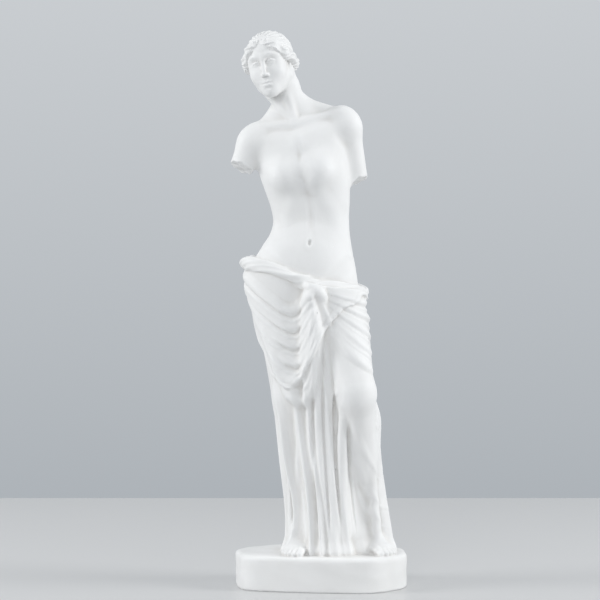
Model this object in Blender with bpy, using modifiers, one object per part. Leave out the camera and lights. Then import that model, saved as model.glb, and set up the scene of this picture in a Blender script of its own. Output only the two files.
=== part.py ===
"""A half-draped goddess statuette without arms, cast in one piece with its low block plinth.

The figure is carved as one smooth distance field. Plain solids are blocked out and joined
by a voxel remesh, and the joined surface is then drawn onto the field.
"""

import math

import bmesh
import bpy
import numpy as np
from mathutils import Euler, Matrix, Vector

# Driving sizes, in metres
FIGURE_HEIGHT = 0.282
PLINTH_WIDTH = 0.092
PLINTH_DEPTH = 0.063
PLINTH_THICKNESS = 0.018
PLINTH_CORNER = 0.007
PLINTH_TOP_ROUNDING = 0.0025

# The figure is carved in parts: 282 of them from the sole to the crown.
# It faces -Y, +X is its own left, and level 0 is the top of the plinth.
STATURE = 282.0
PART = FIGURE_HEIGHT / STATURE

# The surface, in parts and triangles
FIRST_GRID = 1.7
SECOND_GRID = 1.2
MOST_TRIANGLES = 9300

# The mantle
ROLL_RADIUS = 3.6
CLOTH_ARC = 26.0
TORSO_ARC = 20.0
FAR = 60.0

PLASTER = (0.83, 0.82, 0.80, 1.0)
PLASTER_ROUGHNESS = 0.62


def spot(x, y, z):
    return np.array((x, y, z), float)


def turned(x=0.0, y=0.0, z=0.0):
    """A turn about X, then Y, then Z, in degrees."""
    return np.array(Euler((math.radians(x), math.radians(y), math.radians(z))).to_matrix())


def melted(first, second, width):
    """The nearer of two surfaces, with the crease between them rounded."""
    overlap = np.maximum(width - np.abs(first - second), 0) / width
    return np.minimum(first, second) - overlap * overlap * width / 4


def step(value, low, high):
    share = np.clip((value - low) / (high - low), 0, 1)
    return share * share * (3 - 2 * share)


def bump(value):
    return np.where(np.abs(value) < 1, (1 - value * value) ** 2, 0)


def smooth_path(points, count):
    """Evenly numbered points of a smooth curve through the given ones."""
    points = np.asarray(points, float)
    points = np.vstack([2 * points[0] - points[1], points, 2 * points[-1] - points[-2]])
    place = np.linspace(0, len(points) - 3 - 1e-9, count)
    first = place.astype(int)
    share = (place - first)[:, None]
    a, b, c, d = (points[first + k] for k in range(4))
    bend = 2 * a - 5 * b + 4 * c - d
    twist = 3 * b - 3 * c + d - a
    return 0.5 * (2 * b + (c - a) * share + bend * share**2 + twist * share**3)


class Ball:
    """An ellipsoid that melts into what it meets, or is cut out of it."""

    def __init__(self, centre, radii, melt, turn=None, cut=False):
        self.centre = np.array(centre, float)
        self.radii = np.array(radii, float)
        self.melt = melt
        self.turn = np.eye(3) if turn is None else turn
        self.cut = cut
        self.middle = self.centre
        self.reach = self.radii.max()

    def distance(self, points):
        local = (points - self.centre) @ self.turn
        near = np.linalg.norm(local / self.radii, axis=1)
        steep = np.linalg.norm(local / self.radii**2, axis=1) + 1e-9
        return near * (near - 1) / steep

    def block(self, cage):
        turn = Matrix(self.turn.tolist()).to_4x4()
        add_sphere(cage, Matrix.Translation(self.centre) @ turn @ Matrix.Diagonal((*self.radii, 1)))


class Rope:
    """A round bar along a smooth path, with a radius that changes along it."""

    def __init__(self, points, radii, melt, count=0, cut=False):
        self.path = smooth_path(points, count) if count else np.array(points, float)
        shares = np.linspace(0, 1, len(self.path))
        self.radii = np.interp(shares, np.linspace(0, 1, len(radii)), radii)
        self.melt = melt
        self.cut = cut
        self.middle = (self.path.min(0) + self.path.max(0)) / 2
        self.reach = np.linalg.norm(self.path - self.middle, axis=1).max() + self.radii.max()

    def distance(self, points):
        nearest = np.full(len(points), 1e9)
        for k in range(len(self.path) - 1):
            start = self.path[k]
            run = self.path[k + 1] - start
            share = np.clip((points - start) @ run / (run @ run), 0, 1)
            off = np.linalg.norm(points - start - share[:, None] * run, axis=1)
            radius = self.radii[k] + (self.radii[k + 1] - self.radii[k]) * share
            nearest = np.minimum(nearest, off - radius)
        return nearest

    def block(self, cage):
        for centre, radius in zip(self.path, self.radii):
            add_sphere(cage, Matrix.Translation(centre) @ Matrix.Scale(radius, 4))
        for k in range(len(self.path) - 1):
            add_cone(cage, self.path[k], self.path[k + 1], self.radii[k], self.radii[k + 1])


class Loft:
    """Rounded sections on a leaning axis. Each row holds the level, the centre's x and y,
    the half width, the depth to the front and to the back, how square the section is,
    and its tilt and turn in degrees."""

    def __init__(self, rows, count=240):
        rows = np.array(rows, float)
        levels = rows[:, 0]
        self.levels = np.linspace(levels[0], levels[-1], count)
        row = np.clip(np.searchsorted(levels, self.levels) - 1, 0, len(levels) - 2)
        gap = levels[row + 1] - levels[row]
        t = (self.levels - levels[row]) / gap
        self.values = []
        for column in rows[:, 1:].T:
            slope = np.gradient(column, levels)
            here = (2 * t**3 - 3 * t**2 + 1) * column[row] + (t**3 - 2 * t**2 + t) * gap * slope[row]
            there = (3 * t**2 - 2 * t**3) * column[row + 1] + (t**3 - t**2) * gap * slope[row + 1]
            self.values.append(here + there)

    def section(self, level):
        return [np.interp(level, self.levels, value) for value in self.values]

    def around(self, points):
        """The level, the angle from the front, the distance from the axis and the radius there."""
        level = points[:, 2]
        for _ in range(3):
            middle = np.interp(level, self.levels, self.values[0])
            tilt = np.radians(np.interp(level, self.levels, self.values[6]))
            level = points[:, 2] - np.tan(tilt) * (points[:, 0] - middle)
        centre_x, centre_y, wide, front, back, square, _, turn = self.section(level)
        x, y = points[:, 0] - centre_x, points[:, 1] - centre_y
        c, s = np.cos(np.radians(turn)), np.sin(np.radians(turn))
        x, y = c * x + s * y, c * y - s * x
        deep = np.where(y < 0, front, back)
        share = (np.abs(x / wide) ** square + np.abs(y / deep) ** square) ** (1 / square) + 1e-9
        far = np.hypot(x, y)
        return level, np.arctan2(x, -y), far, far / share

    def distance(self, level, far, radius):
        ends = np.maximum(level - self.levels[-1], self.levels[0] - level)
        return np.maximum(far - radius, ends)

    def point(self, level, degrees, lift=0.0):
        """A point at this level and angle, lifted off the surface."""
        centre_x, centre_y, wide, front, back, square, tilt, turn = self.section(level)
        angle = math.radians(degrees)
        x, y = math.sin(angle), -math.cos(angle)
        deep = front if y < 0 else back
        radius = (abs(x / wide) ** square + abs(y / deep) ** square) ** (-1 / square) + lift
        c, s = math.cos(math.radians(turn)), math.sin(math.radians(turn))
        along, across = c * x * radius - s * y * radius, s * x * radius + c * y * radius
        return spot(centre_x + along, centre_y + across, level + math.tan(math.radians(tilt)) * along)

    def block(self, cage, rings=40, sides=40):
        loops = []
        for level in np.linspace(self.levels[0], self.levels[-1], rings):
            loops.append([cage.verts.new(self.point(level, 360 * k / sides)) for k in range(sides)])
        for low, high in zip(loops, loops[1:]):
            for k in range(sides):
                after = (k + 1) % sides
                cage.faces.new((low[k], low[after], high[after], high[k]))
        cage.faces.new(loops[0][::-1])
        cage.faces.new(loops[-1])


# Blocking out

def append(cage, piece):
    mesh = bpy.data.meshes.new("piece")
    piece.to_mesh(mesh)
    piece.free()
    cage.from_mesh(mesh)
    bpy.data.meshes.remove(mesh)


def add_sphere(cage, matrix):
    piece = bmesh.new()
    bmesh.ops.create_icosphere(piece, subdivisions=3, radius=1, matrix=matrix)
    append(cage, piece)


def add_cone(cage, start, end, start_radius, end_radius):
    start, end = Vector(start), Vector(end)
    aim = (end - start).to_track_quat("Z", "Y").to_matrix().to_4x4()
    piece = bmesh.new()
    bmesh.ops.create_cone(
        piece,
        cap_ends=True,
        segments=20,
        radius1=start_radius,
        radius2=end_radius,
        depth=(end - start).length,
        matrix=Matrix.Translation((start + end) / 2) @ aim,
    )
    append(cage, piece)


def fused(field, points, lumps, margin=4.0):
    """The field with each lump melted into it, or cut out of it, near that lump."""
    for lump in lumps:
        near = ((points - lump.middle) ** 2).sum(1) < (lump.reach + lump.melt + margin) ** 2
        if not near.any():
            continue
        distance = lump.distance(points[near])
        if lump.cut:
            field[near] = -melted(-field[near], distance, lump.melt)
        else:
            field[near] = melted(field[near], distance, lump.melt)
    return field


# The nude torso, leaning over the standing leg

TORSO = Loft([
    (118, -6.0, 2.0, 24.0, 15.0, 18.0, 2.2, -5, 6),
    (134, -8.0, 1.5, 28.0, 16.6, 20.0, 2.2, -6, 6),
    (144, -8.5, 1.0, 29.2, 16.6, 20.5, 2.2, -6, 6),
    (154, -8.2, 0.5, 27.6, 16.2, 18.4, 2.2, -5, 5),
    (163, -7.0, 0.5, 24.4, 15.2, 14.8, 2.2, -3, 3),
    (171, -5.6, 0.7, 21.6, 13.8, 12.4, 2.2, 0, 1),
    (178, -5.0, 1.0, 20.6, 13.0, 12.2, 2.2, 3, -1),
    (187, -5.4, 1.0, 21.4, 13.4, 13.2, 2.3, 5, -3),
    (197, -7.0, 0.8, 22.9, 13.8, 14.6, 2.4, 7, -4),
    (208, -9.4, 0.8, 24.0, 13.4, 15.8, 2.4, 8, -5),
    (219, -11.6, 1.2, 23.6, 11.6, 15.2, 2.4, 8, -5),
    (228, -13.0, 2.0, 20.4, 9.2, 13.0, 2.2, 7, -5),
    (235, -14.6, 2.8, 13.4, 7.2, 10.0, 2.0, 5, -5),
    (241, -16.0, 3.0, 8.4, 6.6, 8.2, 2.0, 2, -5),
    (248, -18.0, 2.4, 6.9, 6.4, 7.4, 2.0, 0, -5),
    (260, -21.6, 1.2, 6.7, 6.6, 7.2, 2.0, 0, -5),
])
RIGHT_SHOULDER = spot(-36.4, 2.2, 222.0)
LEFT_SHOULDER = spot(14.2, 1.0, 231.0)
HEAD_CENTRE = spot(-27.5, -3.0, 262.5)
HEAD_TURN = turned(9, -11, -16)


def on_head(x, y, z):
    """A place on the head, from the head's own centre."""
    return HEAD_CENTRE + HEAD_TURN @ spot(x, y, z)


def breast(degrees):
    root = TORSO.point(204.0, degrees, -4.6)
    out = TORSO.point(204.0, degrees, 5.0) - TORSO.point(204.0, degrees)
    out = out / np.linalg.norm(out)
    return [
        Ball(root + out * 0.4, (8.6, 8.4, 9.6), 7.0),
        Ball(root + out * 2.4 + spot(0, 0, -1.6), (6.8, 6.4, 6.4), 4.0),
        Ball(root + out * 8.5 + spot(0, 0, -1.2), (1.0, 1.0, 1.0), 1.2),
    ]


def collar_bone(start, shoulder, side):
    end = shoulder + spot(-3.6 * side, -4.2, 5.5)
    middle = (start + end) / 2 + spot(0, -0.2, 0.2)
    return Rope([start, middle, end], [1.3, 1.2, 1.5], 4.5, count=6)


def torso_lumps():
    right, left = RIGHT_SHOULDER, LEFT_SHOULDER
    return breast(-42) + breast(39) + [
        Rope([TORSO.point(217, -30, -5.5), right + spot(1.5, -2, 0)], [5.2, 5.0], 7),
        Rope([TORSO.point(219, 28, -5.5), left + spot(-1.5, -2, 0)], [5.2, 5.0], 7),
        Rope([spot(-18.4, 6, 244), right + spot(5.5, 1.2, 5.2)], [4.2, 4.4], 8),
        Rope([spot(-15.2, 6, 244), left + spot(-5.5, 1.2, 4.6)], [4.2, 4.4], 8),
        Ball(TORSO.point(213, 140, -2.6), (8.5, 4.2, 10.5), 6, turned(z=35)),
        Ball(TORSO.point(211, -142, -2.6), (8.5, 4.2, 10.5), 6, turned(z=-35)),
        collar_bone(TORSO.point(230.5, -6, -0.5), right, -1),
        collar_bone(TORSO.point(230.5, 10, -0.5), left, 1),
        Ball(TORSO.point(233.4, 2, 0.9), (2.4, 1.8, 2.4), 3.0, cut=True),
        Ball((-20, 11, 141), (13, 11.5, 14), 6),
        Ball((2.5, 10.5, 137), (13, 11.5, 14), 6),
        Ball((-7.4, -6.6, 156), (13.5, 8.2, 14), 9),
        Rope([spot(-18, 2.6, 252), on_head(0, 3.2, -8)], [6.6, 6.6], 3),
        neck_sinew(-1, -4),
        neck_sinew(1, 8),
    ]


def neck_sinew(side, degrees):
    behind_ear = on_head(8.0 * side, 5.5, -8)
    halfway = on_head(5.6 * side, 1.0, -15)
    return Rope([behind_ear, halfway, TORSO.point(232.5, degrees, -0.2)], [1.8, 1.6, 1.2], 3.0, count=6)


# The stumps of the arms: lumps, a point on the break and the way the break faces

def stump(shoulder, lean, start, end, radii, at, facing):
    lumps = [
        Ball(shoulder, (7.0, 7.6, 9.0), 6, turned(y=lean)),
        Rope([shoulder + spot(*start), shoulder + spot(*end)], radii, 6),
    ]
    return lumps, shoulder + spot(*at), spot(*facing)


RIGHT_STUMP = stump(
    RIGHT_SHOULDER,
    lean=22,
    start=(-1.4, -0.3, -2),
    end=(-10, -3.6, -24),
    radii=(6.8, 6.2),
    at=(-6.4, -2.6, -15),
    facing=(-0.42, -0.26, -0.87),
)
LEFT_STUMP = stump(
    LEFT_SHOULDER,
    lean=-12,
    start=(1, 0, -3),
    end=(7.4, 3.6, -40),
    radii=(6.8, 5.7),
    at=(5.8, 2.8, -31),
    facing=(0.34, -0.12, -0.93),
)


def arm_distance(points, arm):
    lumps, at, facing = arm
    whole = fused(np.full(len(points), FAR), points, lumps, FAR)
    off = points - at
    broken = 0.45 * np.sin(off[:, 0] * 0.9 + 1) * np.sin(off[:, 1] * 0.8)
    return -melted(-whole, -(off @ facing / np.linalg.norm(facing) + broken), 0.7)


def torso_relief(level, angle):
    """The midline, the arch of the ribs, the groins, the navel and the groove of the spine."""
    front = angle * TORSO_ARC
    back = (math.pi - np.abs(angle)) * TORSO_ARC
    relief = -0.34 * bump(front / 4.2) * step(level, 165, 174) * step(197 - level, 0, 10)
    relief -= 0.32 * bump(front / 4.2) * step(level, 205, 212) * step(226 - level, 0, 8)
    for side in (-1, 1):
        ribs = [(0, 199.5), (side * 20, 193), (side * 40, 184), (side * 60, 174)]
        groin = [(side * 80, 160), (side * 52, 152), (side * 26, 142)]
        relief += ridge(front, level, ribs, 6.5, 0.5, TORSO_ARC)
        relief -= ridge(front, level, groin, 5.0, 0.55, TORSO_ARC)
    navel = np.hypot(front, (level - 165) * 0.8)
    relief += 0.3 * bump(navel / 4.2) - 1.6 * bump(navel / 2.2)
    relief -= 1.0 * bump(back / 5.5) * step(level, 148, 164) * step(236 - level, 0, 14)
    relief += 0.6 * bump((back - 7) / 6) * step(level, 152, 168) * step(204 - level, 0, 24)
    return relief


def torso_distance(points):
    level, angle, far, radius = TORSO.around(points)
    field = fused(TORSO.distance(level, far, radius), points, TORSO_LUMPS)
    field -= torso_relief(level, angle) * step(6 - np.abs(field), 0, 3)
    for arm in (RIGHT_STUMP, LEFT_STUMP):
        near = ((points - arm[1]) ** 2).sum(1) < 50**2
        if near.any():
            field[near] = melted(field[near], arm_distance(points[near], arm), 5.0)
    return field


# The head

def face_lumps():
    def ball(at, radii, melt, **rest):
        return Ball(on_head(*at), radii, melt, HEAD_TURN, **rest)

    def line(points, radii, melt, **rest):
        return Rope([on_head(*point) for point in points], radii, melt, count=8, **rest)

    lumps = [
        ball((0, 3.8, 4.8), (11.4, 14.4, 12.8), 2),
        ball((0, -3.2, -3.4), (9.3, 9.8, 12.2), 4),
        ball((0, -4.6, -9.8), (6.7, 7.2, 6.2), 4),
        ball((0, -9.9, -14.9), (2.8, 2.8, 2.5), 3.5),
        ball((0, -4.4, 6.0), (9.2, 8.6, 8.6), 3),
        ball((0, -9.5, -10.0), (4.6, 3.5, 4.2), 3),
    ]
    for side in (-1, 1):
        jaw = [on_head(8.2 * side, 0.5, -7.6), on_head(1.8 * side, -8.4, -14.0)]
        brow = ((1.3, -12.3, 3.6), (3.2, -12.4, 4.6), (5.4, -11.6, 4.8), (8, -9, 3.4))
        lumps += [
            ball((5.4 * side, -8.2, -4.6), (3.9, 3.8, 4.6), 3.5),
            Rope(jaw, [2.6, 2.3], 3.5),
            ball((6.3 * side, -6.5, 0.8), (2.9, 3.7, 4.4), 3),
            ball((8.2 * side, 4.5, -5.0), (3.2, 4.4, 4.4), 3),
            ball((4.2 * side, -13.6, 0.6), (2.8, 2.3, 1.9), 1.8, cut=True),
            ball((4.2 * side, -9.8, 0.2), (2.6, 2.6, 2.1), 0.7),
            line([(side * x, y, z) for x, y, z in brow], [0.7, 0.8, 0.7, 0.5], 2.0),
            ball((1.35 * side, -13.4, -5.9), (0.9, 1.5, 0.85), 0.8),
        ]
    nose = [(0, -12.2, 4.6), (0, -13.2, 0.8), (0, -14.4, -3.0), (0, -14.9, -5.2)]
    upper_lip = [(-3.1, -12.0, -9.9), (-1.4, -13.0, -9.45), (1.4, -13.0, -9.45), (3.1, -12.0, -9.9)]
    lower_lip = [(-2.6, -12.1, -10.9), (-1.2, -12.9, -11.3), (1.2, -12.9, -11.3), (2.6, -12.1, -10.9)]
    return lumps + [
        line(nose, [1.2, 0.95, 0.95, 1.15], 1.6),
        ball((0, -14.8, -5.5), (1.25, 1.3, 1.1), 0.8),
        line(upper_lip, [0.3, 0.7, 0.7, 0.3], 0.6),
        line(lower_lip, [0.35, 0.8, 0.8, 0.35], 0.6),
    ]


def hair_lumps():
    lumps = [Ball(on_head(0, 4.8, 5.8), (12.6, 15.6, 12.9), 0.6, HEAD_TURN)]
    for side in (-1, 1):
        roll = [
            (0.8, -9.4, 12.4), (4.6, -10.2, 10.2), (8.4, -8.2, 6.6), (11.0, -3.8, 3.0),
            (12.0, 2.0, 1.0), (11.0, 8.6, -1.4), (7.0, 14.2, -3.6), (2.4, 17.4, -4.4),
        ]
        path = [on_head(side * x, y, z) for x, y, z in roll]
        lumps.append(Rope(path, [1.8, 2.7, 2.9, 3.0, 3.0, 3.1, 3.0, 2.8], 0.9, count=14))
    return lumps + [Ball(on_head(0, 20.0, -3.4), (5.6, 5.0, 5.4), 1.0, HEAD_TURN)]


def head_distance(points):
    field = np.full(len(points), FAR)
    near = ((points - HEAD_CENTRE) ** 2).sum(1) < 34**2
    if near.any():
        close = points[near]
        face = fused(np.full(len(close), FAR), close, FACE_LUMPS, FAR)
        hair = fused(np.full(len(close), FAR), close, HAIR_LUMPS, FAR)
        field[near] = melted(face, hair, 0.5)
    return field


# The mantle: the skirt, the legs under it and the folds that stand out from it

SKIRT = Loft([
    (0, 9.0, 3.5, 29.0, 19.0, 20.0, 2.3, 0, 0),
    (7, 8.5, 3.5, 27.8, 18.2, 19.0, 2.3, 0, 0),
    (25, 7.0, 3.0, 25.5, 16.0, 18.0, 2.3, 0, 0),
    (50, 4.0, 2.5, 24.5, 15.0, 17.5, 2.3, 0, 0),
    (80, 0.5, 2.0, 25.0, 15.2, 17.5, 2.3, 0, 2),
    (105, -3.0, 2.0, 27.0, 16.2, 18.5, 2.3, -2, 4),
    (125, -6.0, 2.0, 29.3, 17.2, 20.5, 2.3, -4, 6),
    (142, -8.0, 1.5, 30.8, 18.2, 21.6, 2.3, -6, 6),
    (152, -8.5, 1.0, 30.4, 18.0, 21.4, 2.3, -6, 6),
    (160, -8.2, 0.6, 27.0, 15.6, 17.6, 2.3, -6, 6),
])
KNOT = spot(-3.4, -20.0, 138.5)


def leg_lumps():
    return [
        Rope([(-20, -1, 146), (-14.5, -6, 84)], [14.6, 10.0], 6),
        Rope([(-14.5, -6, 84), (-8, 1, 8)], [9.6, 7.6], 5),
        Rope([(7, -3, 144), (18, -21, 88)], [15.2, 10.2], 6),
        Ball((18.4, -21.5, 85), (9.4, 8.6, 10.5), 5),
        Rope([(19, -20.5, 82), (26, 3, 10)], [9.0, 6.8], 5),
        Ball((21, -6, 58), (8.5, 10, 18), 8, turned(x=-20)),
        Rope([(14, 2, 120), (21, 4, 70)], [11.0, 9.0], 8),
        Rope([(21, 4, 70), (26, 8, 20)], [9.0, 8.5], 8),
        Rope([(8.5, -11, 96), (10.5, -12, 14)], [6.4, 7.0], 5),
        Rope([(-6.6, -10.6, 100), (-3.4, -10.4, 10)], [5.6, 6.4], 5),
    ]


def knot_lumps():
    over = ((-4.6, 0.6, 4.0), (-1.0, -3.4, 2.2), (3.2, -3.0, -1.4), (4.4, 0.4, -4.4))
    under = ((4.8, 0.8, 3.4), (2.6, -2.0, 3.2), (-1.4, -3.2, -0.8), (-3.4, -0.6, -4.6))
    return [
        Ball(KNOT, (4.6, 4.0, 5.2), 1.4, turned(y=18)),
        Rope([KNOT + spot(*at) for at in over], [1.2, 1.9, 1.9, 1.2], 0.7, count=8),
        Rope([KNOT + spot(*at) for at in under], [1.0, 1.5, 1.6, 1.0], 0.7, count=8),
    ]


def falling_fold(points, radii, melt=2.4):
    return Rope([spot(*at) for at in points], radii, melt, count=9)


def fold_lumps():
    """The folds that fall from the knot, over the standing shin and from the bent knee."""
    folds = []
    for top, knee_x, foot_x, knee_y, foot_y, radius in (
        (-2.6, -6.4, -5.6, -16.6, -15.0, 2.4),
        (0.2, -1.4, 0.6, -18.4, -17.4, 2.7),
        (2.8, 3.6, 6.8, -18.2, -18.4, 2.5),
    ):
        start = KNOT + spot(top, -0.6, -3.0)
        path = [start, (knee_x * 0.85, knee_y - 1.6, 112), (knee_x, knee_y, 75)]
        path += [(foot_x, foot_y, 30), (foot_x + 0.5, foot_y - 1.6, 3)]
        folds.append(falling_fold(path, [1.5, radius, radius, radius + 0.5, radius + 1.2]))
    for x, knee_y, foot_y in ((-4.0, -15.8, -14.6), (1.2, -16.4, -16.0)):
        path = [(x, knee_y, 110), (x, knee_y, 75), (x + 1.6, foot_y, 30), (x + 2.0, foot_y - 1.4, 3)]
        folds.append(falling_fold(path, [2.4, 2.6, 3.2, 4.0], 3.0))
    over_shin = ((-12.5, -15.6, 92), (-12.5, -13.6, 60), (-11.4, -10.6, 32), (-10.6, -9.4, 16))
    beside_knee = ((11.4, -23, 84), (11.4, -20.7, 64), (11.5, -18.5, 38), (12.6, -17.8, 3))
    for points, radii, melt in (
        (((-9, -12.2, 94), (-8.8, -12.2, 60), (-8, -11.2, 30), (-7.4, -12.4, 3)), (2.4, 3.0, 3.4, 4.2), 3.0),
        (((-22, -9, 100), (-19.5, -9.8, 64), (-16.2, -8.4, 28), (-16.4, -10.5, 3)), (1, 2, 2.5, 3.4), 3.0),
        (over_shin, (0.8, 1.7, 0.8), 3.0),
        (beside_knee, (1.3, 2.5, 2.5, 3.5), 2.4),
        (((24.5, -22, 80), (25.5, -16.7, 60), (27.5, -11.5, 38), (30.5, -9, 3)), (1.3, 2.6, 2.6, 3.6), 2.4),
        (((27, -15, 92), (28.2, -10, 72), (30.5, -5, 38), (35, -3, 3)), (1.3, 2.8, 2.8, 3.8), 2.4),
    ):
        folds.append(falling_fold(points, radii, melt))
    return folds


def roll_level(angle):
    """The level of the rolled edge of the mantle round the hips."""
    front = 5.0 * np.exp(-((angle / 0.9) ** 2))
    back = 2.0 * np.exp(-(((np.abs(angle) - math.pi) / 0.8) ** 2))
    return 147.5 - 4.5 * np.sin(angle) - front + back


def roll_ropes():
    """The roll as it is blocked out."""
    around = np.linspace(-180, 180, 37)
    path = [SKIRT.point(roll_level(math.radians(degrees)), degrees, 1.0) for degrees in around]
    return [Rope(path, [ROLL_RADIUS, ROLL_RADIUS], 1.0)]


def ridge(across, level, points, width, height, arc, above=1.0, taper=0.15, count=14):
    """A raised line along points given as degrees and levels, wider above it where asked."""
    points = np.array(points, float)
    path = smooth_path(np.column_stack([np.radians(points[:, 0]) * arc, points[:, 1]]), count)
    relief = np.zeros(len(across))
    here = np.column_stack([across, level])
    low, high = path.min(0) - width * 1.2 * above, path.max(0) + width * 1.2 * above
    near = ((here > low) & (here < high)).all(1)
    if not near.any():
        return relief
    here = here[near]
    nearest = np.full(len(here), 1e9)
    side = np.zeros(len(here))
    share = np.zeros(len(here))
    for k in range(count - 1):
        run = path[k + 1] - path[k]
        t = np.clip((here - path[k]) @ run / (run @ run), 0, 1)
        off = here - path[k] - t[:, None] * run
        distance = np.hypot(off[:, 0], off[:, 1])
        closer = distance < nearest
        nearest[closer] = distance[closer]
        share[closer] = (k + t[closer]) / (count - 1)
        side[closer] = (run[0] * off[:, 1] - run[1] * off[:, 0])[closer]
    swell = step(share, 0, taper) * step(1 - share, 0, taper)
    width = np.where(side > 0, width * above, width) * (0.35 + 0.65 * swell)
    relief[near] = height * swell * bump(nearest / width)
    return relief


def thigh_folds(across, level):
    """Swags from the standing hip to the knot, and a fan from the knot over the bent leg."""
    relief = np.zeros(len(across))
    for k in range(6):
        hip = -112 + 10 * k
        swag = [
            (hip, roll_level(math.radians(hip)) - 5 - 2 * k),
            (-78 + 6 * k, 141 - 10.5 * k),
            (-36 + 3 * k, 127.5 - 9 * k),
            (-9 + 1.2 * k, 133 - 5.5 * k),
            (4, 140 - 2 * k),
        ]
        fold = ridge(across, level, swag, 3.0 + 0.35 * k, 1.7 + 0.22 * k, CLOTH_ARC, above=1.8)
        relief = np.maximum(relief, fold)
    for k, (degrees, end) in enumerate([(118, 139), (110, 128), (96, 116), (75, 105), (55, 96)]):
        fan = [
            (9, 141 - 1.5 * k),
            (9 + 0.36 * (degrees - 9), 137 - 0.62 * (140 - end)),
            (9 + 0.7 * (degrees - 9), 138 - 0.87 * (140 - end)),
            (degrees, end),
        ]
        fold = ridge(across, level, fan, 2.8 + 0.15 * k, 1.15, CLOTH_ARC, above=1.35, taper=0.34)
        relief = np.maximum(relief, fold)
    return relief


def pleat(phase):
    return np.sqrt(np.sin(phase) ** 2 + 0.09)


def pleat_phase(angle, level):
    wander = 1.3 * np.sin(3 * angle + 1) + 0.45 * np.sin(7 * angle + 2)
    return 8.5 * angle + wander + 0.5 * np.sin(level / 26 + 2 * angle) + (level - 60) * 0.006


def overfold_edge(angle):
    """The level of the lower edge of the short upper layer."""
    dip = 53 * np.exp(-(((angle + 0.72) / 0.98) ** 2))
    back = 8 * np.exp(-(((np.abs(angle) - math.pi) / 0.9) ** 2))
    wave = 1.5 * np.cos(2 * pleat_phase(angle, 100)) * step(np.abs(angle), 0.3, 1.0)
    return 141 - dip - back - wave


def below_overfold_edge(angle, level):
    """How far a place lies above the overfold's edge, measured square to it."""
    reach = 0.02
    rise = overfold_edge(angle + reach) - overfold_edge(angle - reach)
    slope = rise / (2 * reach * CLOTH_ARC)
    return (level - overfold_edge(angle)) / np.sqrt(1 + slope * slope)


def mantle_distance(points):
    level, angle, far, radius = SKIRT.around(points)
    field = fused(SKIRT.distance(level, far, radius), points, MANTLE_LUMPS)
    across = angle * CLOTH_ARC
    off = below_overfold_edge(angle, level)
    over_knee = np.exp(-(((angle - 0.62) / 0.62) ** 2)) * step(level, -10, 10)
    over_cascade = np.exp(-(((angle - 0.05) / 0.35) ** 2))
    depth = 0.5 + 2.3 * step(150 - level, 10, 125)
    depth *= 1 - 0.96 * np.maximum(over_knee, over_cascade)
    depth *= 1 - (0.5 + 0.45 * np.exp(-(((angle + 0.75) / 0.8) ** 2))) * step(off, -2, 4)
    pipes = depth * (0.66 - 1.15 * pleat(pleat_phase(angle, level)))
    overfold = step(off, -1.0, 1.0) * (1.2 + 0.8 * np.exp(-np.maximum(off, 0) / 4))
    hem = 1.6 * step(9 - points[:, 2], 0, 9)
    field -= pipes + overfold + hem + thigh_folds(across, level)
    up, out = (level - roll_level(angle)) * 0.85, far - radius - 0.7
    twist = pleat(1.5 * np.arctan2(out, up) + 3.5 * angle + 0.5 * np.sin(3 * angle))
    thick = ROLL_RADIUS + 0.6 * step(out, -2.5, 0.5) * (1 - 2 * twist) + 0.5 * np.sin(3 * angle + 1)
    field = np.maximum(field, level - roll_level(angle) - 1.0)
    return melted(field, np.hypot(up, out) - thick, 0.6)


# The feet

# Across and along the foot, the radius at the root and at the tip
TOES = (
    (-4.0, -25.4, 2.1, 1.75),
    (-0.9, -25.8, 1.6, 1.3),
    (1.7, -24.6, 1.5, 1.25),
    (4.0, -22.8, 1.45, 1.2),
    (6.1, -20.4, 1.4, 1.15),
)


def foot_lumps(ankle, degrees, side, lift=0.0):
    """A foot under its ankle. The little toe points towards +X where side is 1."""
    turn = turned(z=degrees)

    def on_foot(x, y, z):
        return spot(*ankle) + turn @ spot(x * side, y, z)

    lumps = [
        Rope([on_foot(0, 2, 8), on_foot(0.3, -12, 4.6)], [5.6, 4.2], 3),
        Ball(on_foot(0.6, -15.5, 3.0), (6.6, 6.0, 3.2), 2.5, turn),
        Ball(on_foot(0, 6, 4 + lift), (5, 6, 5), 3, turn),
    ]
    for x, y, root, tip in TOES:
        knuckle = on_foot(x * 0.97, y + 4, 2.5)
        lumps.append(Rope([on_foot(x * 0.9, -16, 2.6), knuckle], [root, root], 1.0))
        lumps.append(Rope([knuckle, on_foot(x, y, 1.4)], [root * 0.95, tip], 0.5))
    return lumps


# The plinth, as shares of its half width and half depth from its own middle

PLINTH_OUTLINE = (
    (-1.0, 0.43), (-1.0, -0.21), (-0.89, -0.65), (0.0, -1.0), (0.61, -1.0),
    (1.0, -0.4), (1.0, 0.49), (0.61, 1.0), (-0.52, 1.0),
)
PLINTH_FORWARD = 1.5
BELOW_PLINTH = 1.0


def plinth_corners():
    half = np.array((PLINTH_WIDTH, PLINTH_DEPTH)) / PART / 2
    return np.array(PLINTH_OUTLINE) * half - (0, PLINTH_FORWARD)


def plinth_distance(points):
    corners = plinth_corners()
    field = np.full(len(points), -1e3)
    for start, end in zip(corners, np.roll(corners, -1, axis=0)):
        run = end - start
        outward = np.array((run[1], -run[0])) / np.linalg.norm(run)
        field = -melted(-field, -((points[:, :2] - start) @ outward), PLINTH_CORNER / PART)
    field = -melted(-field, -points[:, 2], PLINTH_TOP_ROUNDING / PART)
    return np.maximum(field, -PLINTH_THICKNESS / PART - BELOW_PLINTH - points[:, 2])


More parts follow.
